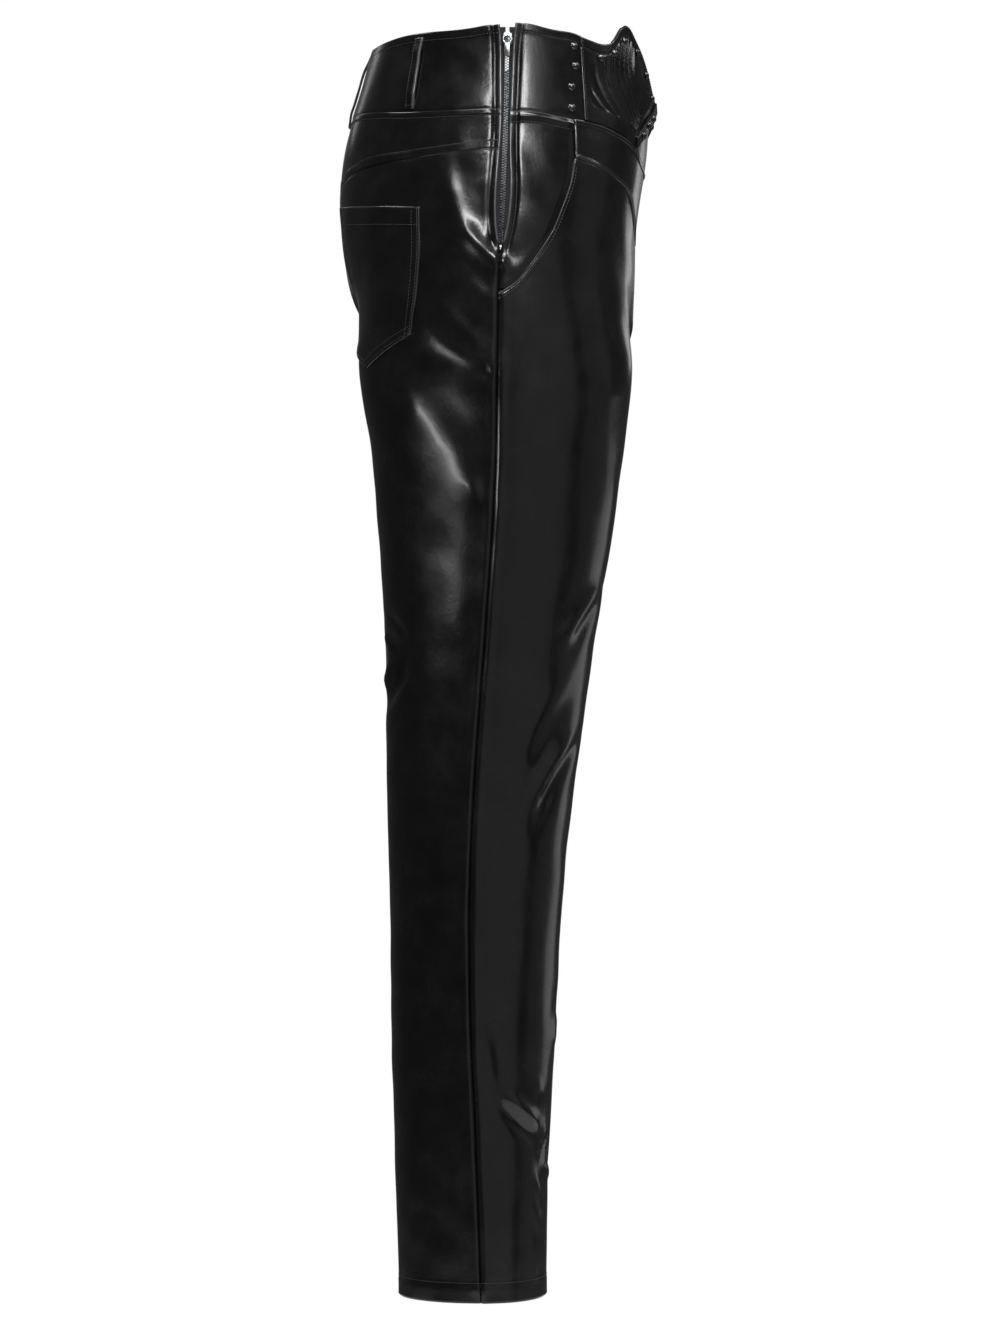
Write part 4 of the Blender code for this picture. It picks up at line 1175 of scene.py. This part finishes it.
def make_tapes():
    for name, way in (("zip_tape_front", 1), ("zip_tape_back", -1)):
        def place(u, v):
            height = mix(ZIP_END - TAPE_SPARE, ZIP_TOP, v)
            return zip_turn(way * mix(CHAIN_HALF - 0.6 * MM, TAPE_REACH, u), height), height
        across = stations(0.012, fine=0.6 * MM, coarse=1.0 * MM, ease=2 * MM)
        sheet = Sheet(place, across, stations(0.195, coarse=2.5 * MM))
        sheet.raise_by(0 * sheet.turn - TAPE_UNDER)
        cloth(name, sheet, WOVEN, "right")


def zip_axes(height):
    """Axes at a height of the zip: across (to the front), out and up along the zip; and the place."""
    turn, step = np.array(180.0), 2 * MM
    up = Vector(form(turn, np.array(height + step)) - form(turn, np.array(height - step))).normalized()
    out = up.cross(Vector((0, -1, 0))).normalized()
    if out.x > 0:
        out = -out
    across = out.cross(up).normalized()
    if across.y > 0:
        across = -across
    return Matrix((across, out, up)).transposed(), Vector(form(turn, np.array(height)))


def make_teeth():
    """Two rows of metal teeth that interlock, one half a pitch above the other."""
    blocks = []
    count = int((CHAIN_TOP - ZIP_END) / TOOTH_PITCH * 2)
    for number in range(count):
        way = 1 if number % 2 else -1
        turned, spot = zip_axes(ZIP_END + (number + 0.5) * TOOTH_PITCH / 2)
        place = Matrix.Translation(spot) @ turned.to_4x4()
        head = softened_box(TOOTH_HEAD, (way * HEAD_ASIDE, -TOOTH_UNDER, 0), 0.30 * MM, segments=1)
        nose = softened_box(
            TOOTH_NOSE, (way * NOSE_ASIDE, -TOOTH_UNDER - NOSE_LOWER, 0), 0.20 * MM, segments=1)
        for block in (head, nose):
            bmesh.ops.transform(block, matrix=place, verts=block.verts[:])
            blocks.append(block)
    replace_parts(show("zip_chain", merged(blocks), TOOTH_METAL, sharp=0.5), "zip_teeth")


SLIDER_WIDTH = 7.8 * MM
SLIDER_PLATE = 1.0 * MM
SLIDER_NECK = 1.6 * MM
CROWN_WIDTH = 1.6 * MM
CROWN_RISE = 4.0 * MM
CROWN_UPPER = 3.7 * MM
CROWN_LOWER = -0.4 * MM
PULL_WALL = 1.1 * MM
PULL_LENGTH = 19 * MM
PULL_TAIL = 4.8 * MM
PULL_BAR = 1.0 * MM
PULL_START = 2.2 * MM
PULL_CLEAR = 0.7 * MM
EYE_WIDTH = 8.2 * MM
EYE_LENGTH = 7.8 * MM
EYE_LAP = 1.2 * MM


def merged(blocks):
    """One bmesh of several closed ones."""
    whole = bmesh.new()
    for block in blocks:
        face_out(block)
        step = bpy.data.meshes.new("step")
        block.to_mesh(step)
        block.free()
        whole.from_mesh(step)
        bpy.data.meshes.remove(step)
    return whole


def softened_box(size, centre, soft, segments=2):
    """A block with rounded edges, in the zip's axes: across, out, up."""
    block = bmesh.new()
    bmesh.ops.create_cube(block, size=1)
    bmesh.ops.scale(block, vec=size, verts=block.verts[:])
    bmesh.ops.bevel(
        block, geom=block.edges[:], offset=soft, segments=segments, profile=0.5, affect="EDGES",
        material=-1)
    bmesh.ops.translate(block, vec=centre, verts=block.verts[:])
    return block


def rounded_plate(width, length, wall, corner, centre, soft):
    """A plate with round corners and softened edges."""
    plate = bmesh.new()
    bmesh.ops.create_cube(plate, size=1)
    bmesh.ops.scale(plate, vec=(width, wall, length), verts=plate.verts[:])
    upright = [edge for edge in plate.edges if abs(edge.verts[0].co.y - edge.verts[1].co.y) > wall / 2]
    bmesh.ops.bevel(
        plate, geom=upright, offset=corner, segments=5, profile=0.5, affect="EDGES", material=-1)
    rim = [edge for edge in plate.edges if abs(edge.verts[0].co.y - edge.verts[1].co.y) < wall / 2]
    bmesh.ops.bevel(plate, geom=rim, offset=soft, segments=2, profile=0.5, affect="EDGES", material=-1)
    bmesh.ops.translate(plate, vec=centre, verts=plate.verts[:])
    return plate


def arch():
    """The slider's crown, a flat bar bent in a half round that the pull hangs from."""
    half = (CROWN_UPPER - CROWN_LOWER) / 2
    bar = bmesh.new()
    bmesh.ops.create_grid(bar, x_segments=1, y_segments=1, size=0.5)
    bmesh.ops.scale(bar, vec=(CROWN_WIDTH, PULL_BAR, 1), verts=bar.verts[:])
    bmesh.ops.rotate(bar, cent=(0, 0, 0), matrix=Matrix.Rotation(math.pi / 2, 3, "X"), verts=bar.verts[:])
    bmesh.ops.translate(bar, vec=(0, 0, half), verts=bar.verts[:])
    ends = bar.verts[:] + bar.edges[:] + bar.faces[:]
    bmesh.ops.spin(
        bar, geom=ends, cent=(0, 0, 0), axis=(1, 0, 0), dvec=(0, 0, 0), angle=-math.pi, steps=14,
        use_merge=False, use_duplicate=False)
    bmesh.ops.scale(bar, vec=(1, CROWN_RISE / (half + PULL_BAR / 2), 1), verts=bar.verts[:])
    bmesh.ops.translate(
        bar, vec=(0, SLIDER_PLATE * 0.8, (CROWN_UPPER + CROWN_LOWER) / 2), verts=bar.verts[:])
    return bar


def place_on_zip(blocks, name, origin, turned, body_name, node):
    whole = merged(blocks)
    place = Matrix.Translation(origin) @ turned.to_4x4()
    bmesh.ops.transform(whole, matrix=place, verts=whole.verts[:])
    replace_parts(show(name, whole, ZIP_METAL, body_name, sharp=0.6), node)


def make_slider():
    turned, origin = zip_axes(SLIDER_HEIGHT)
    back_out = -TAPE_UNDER - TAPE_WALL - SEAM - SLIDER_PLATE / 2
    plate = (SLIDER_WIDTH, SLIDER_LENGTH, SLIDER_PLATE, 2.2 * MM)
    cheek = (0.9 * MM, 0.9 * MM, SLIDER_LENGTH * 0.62)
    blocks = [
        rounded_plate(*plate, (0, SLIDER_PLATE / 2, 0), 0.25 * MM),
        rounded_plate(*plate, (0, back_out, 0), 0.25 * MM),
        softened_box((SLIDER_NECK, -back_out, SLIDER_LENGTH / 2), (0, back_out / 2, 0), 0.2 * MM),
        arch(),
    ]
    for way in (-1, 1):
        spot = (way * (SLIDER_WIDTH / 2 - 0.5 * MM), -0.35 * MM, -1.0 * MM)
        blocks.append(softened_box(cheek, spot, 0.25 * MM))
    place_on_zip(blocks, "zip_slider_body", origin, turned, "trousers", "zip_slider")


def oval_ring(width, length, bar, wall, up):
    """A flat oval ring with rounded edges."""
    ring = bmesh.new()
    flat = Matrix.Rotation(math.pi / 2, 4, "X")
    for less in (0, 2 * bar):
        loop = bmesh.ops.create_circle(ring, cap_ends=False, segments=36, radius=0.5, matrix=flat)
        bmesh.ops.scale(ring, vec=(width - less, 1, length - less), verts=loop["verts"])
    bmesh.ops.bridge_loops(ring, edges=ring.edges[:])
    made = bmesh.ops.extrude_face_region(ring, geom=ring.faces[:])
    top = [item for item in made["geom"] if isinstance(item, bmesh.types.BMVert)]
    bmesh.ops.translate(ring, vec=(0, wall, 0), verts=top)
    bmesh.ops.recalc_face_normals(ring, faces=ring.faces[:])
    bmesh.ops.translate(ring, vec=(0, -wall / 2, up), verts=ring.verts[:])
    sharp = [edge for edge in ring.edges if edge.calc_face_angle(0.0) > 1.0]
    bmesh.ops.bevel(ring, geom=sharp, offset=0.2 * MM, segments=2, profile=0.5, affect="EDGES", material=-1)
    return ring


def make_pull():
    turned, origin = zip_axes(SLIDER_HEIGHT)
    axis = origin + turned @ Vector((0, SLIDER_PLATE + PULL_CLEAR + PULL_WALL / 2, PULL_START))
    eye_middle = PULL_BAR / 2 - EYE_LENGTH / 2
    tail_length = PULL_LENGTH - EYE_LENGTH + EYE_LAP
    tail_middle = eye_middle - EYE_LENGTH / 2 + EYE_LAP - tail_length / 2
    tail = rounded_plate(PULL_TAIL, tail_length, PULL_WALL, 1.5 * MM, (0, 0, tail_middle), 0.25 * MM)
    panel = rounded_plate(
        PULL_TAIL - 2.0 * MM, tail_length - 4.2 * MM, PULL_WALL + 0.3 * MM, 0.8 * MM,
        (0, 0, tail_middle - 0.6 * MM), 0.15 * MM)
    ring = oval_ring(EYE_WIDTH, EYE_LENGTH, PULL_BAR, PULL_WALL, eye_middle)
    place_on_zip([ring, tail, panel], "zip_pull_tab", axis, turned, "pull_tab", "zip_pull")


# ---- studio ------------------------------------------------------------------------------------
CAMERA_DISTANCE = 3.75
CAMERA_SIDE = 0.0112
CAMERA_HEIGHT = -0.5126
PIXEL = 0.8952 * MM       # a pixel of the 1326 high picture, at the garment's middle
PICTURE_HEIGHT = 1326
SENSOR = 36.0


def make_camera():
    data = bpy.data.cameras.new("camera")
    data.sensor_width = SENSOR
    data.sensor_fit = "AUTO"
    data.lens = SENSOR * CAMERA_DISTANCE / (PICTURE_HEIGHT * PIXEL)
    camera = bpy.data.objects.new("camera", data)
    camera.location = (-CAMERA_DISTANCE, CAMERA_SIDE, CAMERA_HEIGHT)
    camera.rotation_euler = (math.radians(90), 0, math.radians(-90))
    bpy.context.scene.collection.objects.link(camera)
    bpy.context.scene.camera = camera


# Softboxes and strip lights stand round the garment. A bearing is in degrees from the camera, positive
# towards the back, and a rise is in degrees above the height of what the light is for. A roll turns a
# strip about its own axis, so that its gleam runs down the cloth at a slant.
SOFTBOX_COLUMNS = ("name", "bearing", "rise", "lights", "distance", "width", "length", "roll", "power")
SOFTBOXES = (
    ("thigh_strip", 39, -6.9, -0.31, 0.515, 0.35, 0.035, -16, 0.48),
    ("hip_strip", 2, 37, -0.13, 1.6, 0.60, 0.12, -20, 7.0),
    ("waist_box", -14, 31, -0.04, 3.2, 0.34, 0.50, 0, 20.0),
    ("front_rim_box", -156, 4, -0.07, 2.6, 0.50, 0.30, 0, 0.45),
    ("wing_box", -104, 27, -0.02, 2.6, 0.70, 0.30, 0, 3.0),
    ("front_side_box", -118, 0, -0.75, 1.6, 0.70, 0.70, 0, 1.2),
    ("front_high_box", -100, 54, -0.58, 3.0, 0.80, 0.50, 0, 12.0),
    ("knee_box", 112, 54, -0.49, 3.0, 0.80, 0.50, 0, 12.0),
    ("shin_box", -58, 58, -0.90, 3.0, 0.80, 0.50, 0, 5.0),
    ("back_rim_box", 152, 20, -0.06, 2.6, 0.35, 0.8, 0, 0.7),
    ("overhead_box", 0, 70, -0.20, 2.5, 1.40, 0.60, 0, 52.0),
    ("camera_fill", -32, 0, -0.45, 3.2, 3.0, 3.0, 0, 6.4),
    ("front_fill", -88, 0, -0.45, 2.6, 1.5, 3.0, 0, 1.6),
    ("far_thigh_box", 180, 4, -0.35, 2.4, 0.34, 0.60, 0, 3.0),
    ("far_waist_box", 180, 28, -0.10, 3.0, 0.40, 0.50, 0, 12.0),
    ("far_fill", 180, 0, -0.45, 3.2, 1.6, 3.0, 0, 2.0),
)
SIDE_PLACE = Vector((-0.12, 0.03, 0.0))


def softbox(row):
    """A rectangular light that faces what it lights. It is seen only in the gloss."""
    box = dict(zip(SOFTBOX_COLUMNS, row))
    data = bpy.data.lights.new(box["name"], "AREA")
    data.shape = "RECTANGLE"
    data.size, data.size_y = box["width"], box["length"]
    data.energy = box["power"]
    light = bpy.data.objects.new(box["name"], data)
    bearing, rise = math.radians(box["bearing"]), math.radians(box["rise"])
    way = Vector((-math.cos(bearing) * math.cos(rise), math.sin(bearing) * math.cos(rise), math.sin(rise)))
    aim = SIDE_PLACE + Vector((0, 0, box["lights"]))
    light.location = aim + way * box["distance"]
    facing = (-way).to_track_quat("-Z", "Y")
    light.rotation_euler = (facing @ Quaternion((0, 0, 1), math.radians(box["roll"]))).to_euler()
    light.visible_camera = False
    bpy.context.scene.collection.objects.link(light)


FLOOR = -1.30
FLOOR_RADIUS = 1.0


def make_floor():
    """A round pale paper floor."""
    floor, shader = new_material("pale_paper", Roughness=0.9)
    place = add_node(floor, "ShaderNodeTexCoord")
    mottle = add_node(
        floor, "ShaderNodeTexNoise", inputs={"Scale": 2.0}, links=[("Vector", place, "Object")])
    tone = add_node(floor, "ShaderNodeValToRGB", links=[("Fac", mottle, "Fac")])
    tone.color_ramp.elements[0].color = linear("#f4f4f4")
    tone.color_ramp.elements[1].color = linear("#fafafa")
    floor.node_tree.links.new(tone.outputs["Color"], shader.inputs["Base Color"])
    disc = bmesh.new()
    bmesh.ops.create_circle(disc, cap_ends=True, segments=96, radius=FLOOR_RADIUS)
    bmesh.ops.translate(disc, vec=(0, 0, FLOOR), verts=disc.verts[:])
    mesh = bpy.data.meshes.new("floor")
    disc.to_mesh(mesh)
    disc.free()
    mesh.materials.append(floor)
    piece = bpy.data.objects.new("floor", mesh)
    bpy.context.scene.collection.objects.link(piece)


ROOM = 0.05               # brightness of the room that the gloss mirrors
BACKDROP = 1.0            # and of the white that the camera sees behind the garment


def make_room():
    """A dim room that the gloss mirrors; where the camera looks straight past the garment it sees white
    instead.
    """
    world = bpy.data.worlds.new("studio")
    bpy.context.scene.world = world
    world.use_nodes = True
    seen = add_node(world, "ShaderNodeLightPath")
    paper = add_node(
        world, "ShaderNodeMapRange", inputs={"To Min": ROOM, "To Max": BACKDROP},
        links=[("Value", seen, "Is Camera Ray")])
    background = world.node_tree.nodes["Background"]
    world.node_tree.links.new(paper.outputs["Result"], background.inputs["Strength"])
    background.inputs["Color"].default_value = (1, 1, 1, 1)
    bpy.context.scene.view_settings.view_transform = "Standard"


make_camera()
for half in ("right", "left"):
    make_front_leg(half)
    make_back_leg(half)
    make_hip_facing(half)
    make_front_yoke(half)
    make_back_yoke(half)
    make_waistband(half)
    make_wing(half)
    make_wing_strip(half)
    make_pocket(half)
    make_belt_loop(f"belt_loop_{half}", LOOP_TURN, half)
    make_studs(half)
make_belt_loop("belt_loop_back", 360.0, "right")
make_tapes()
make_teeth()
make_slider()
make_pull()
bpy.data.objects["zip_bottom_stop"].material_slots[0].material = ZIP_METAL
make_topstitching()
make_floor()
make_room()
for row in SOFTBOXES:
    softbox(row)
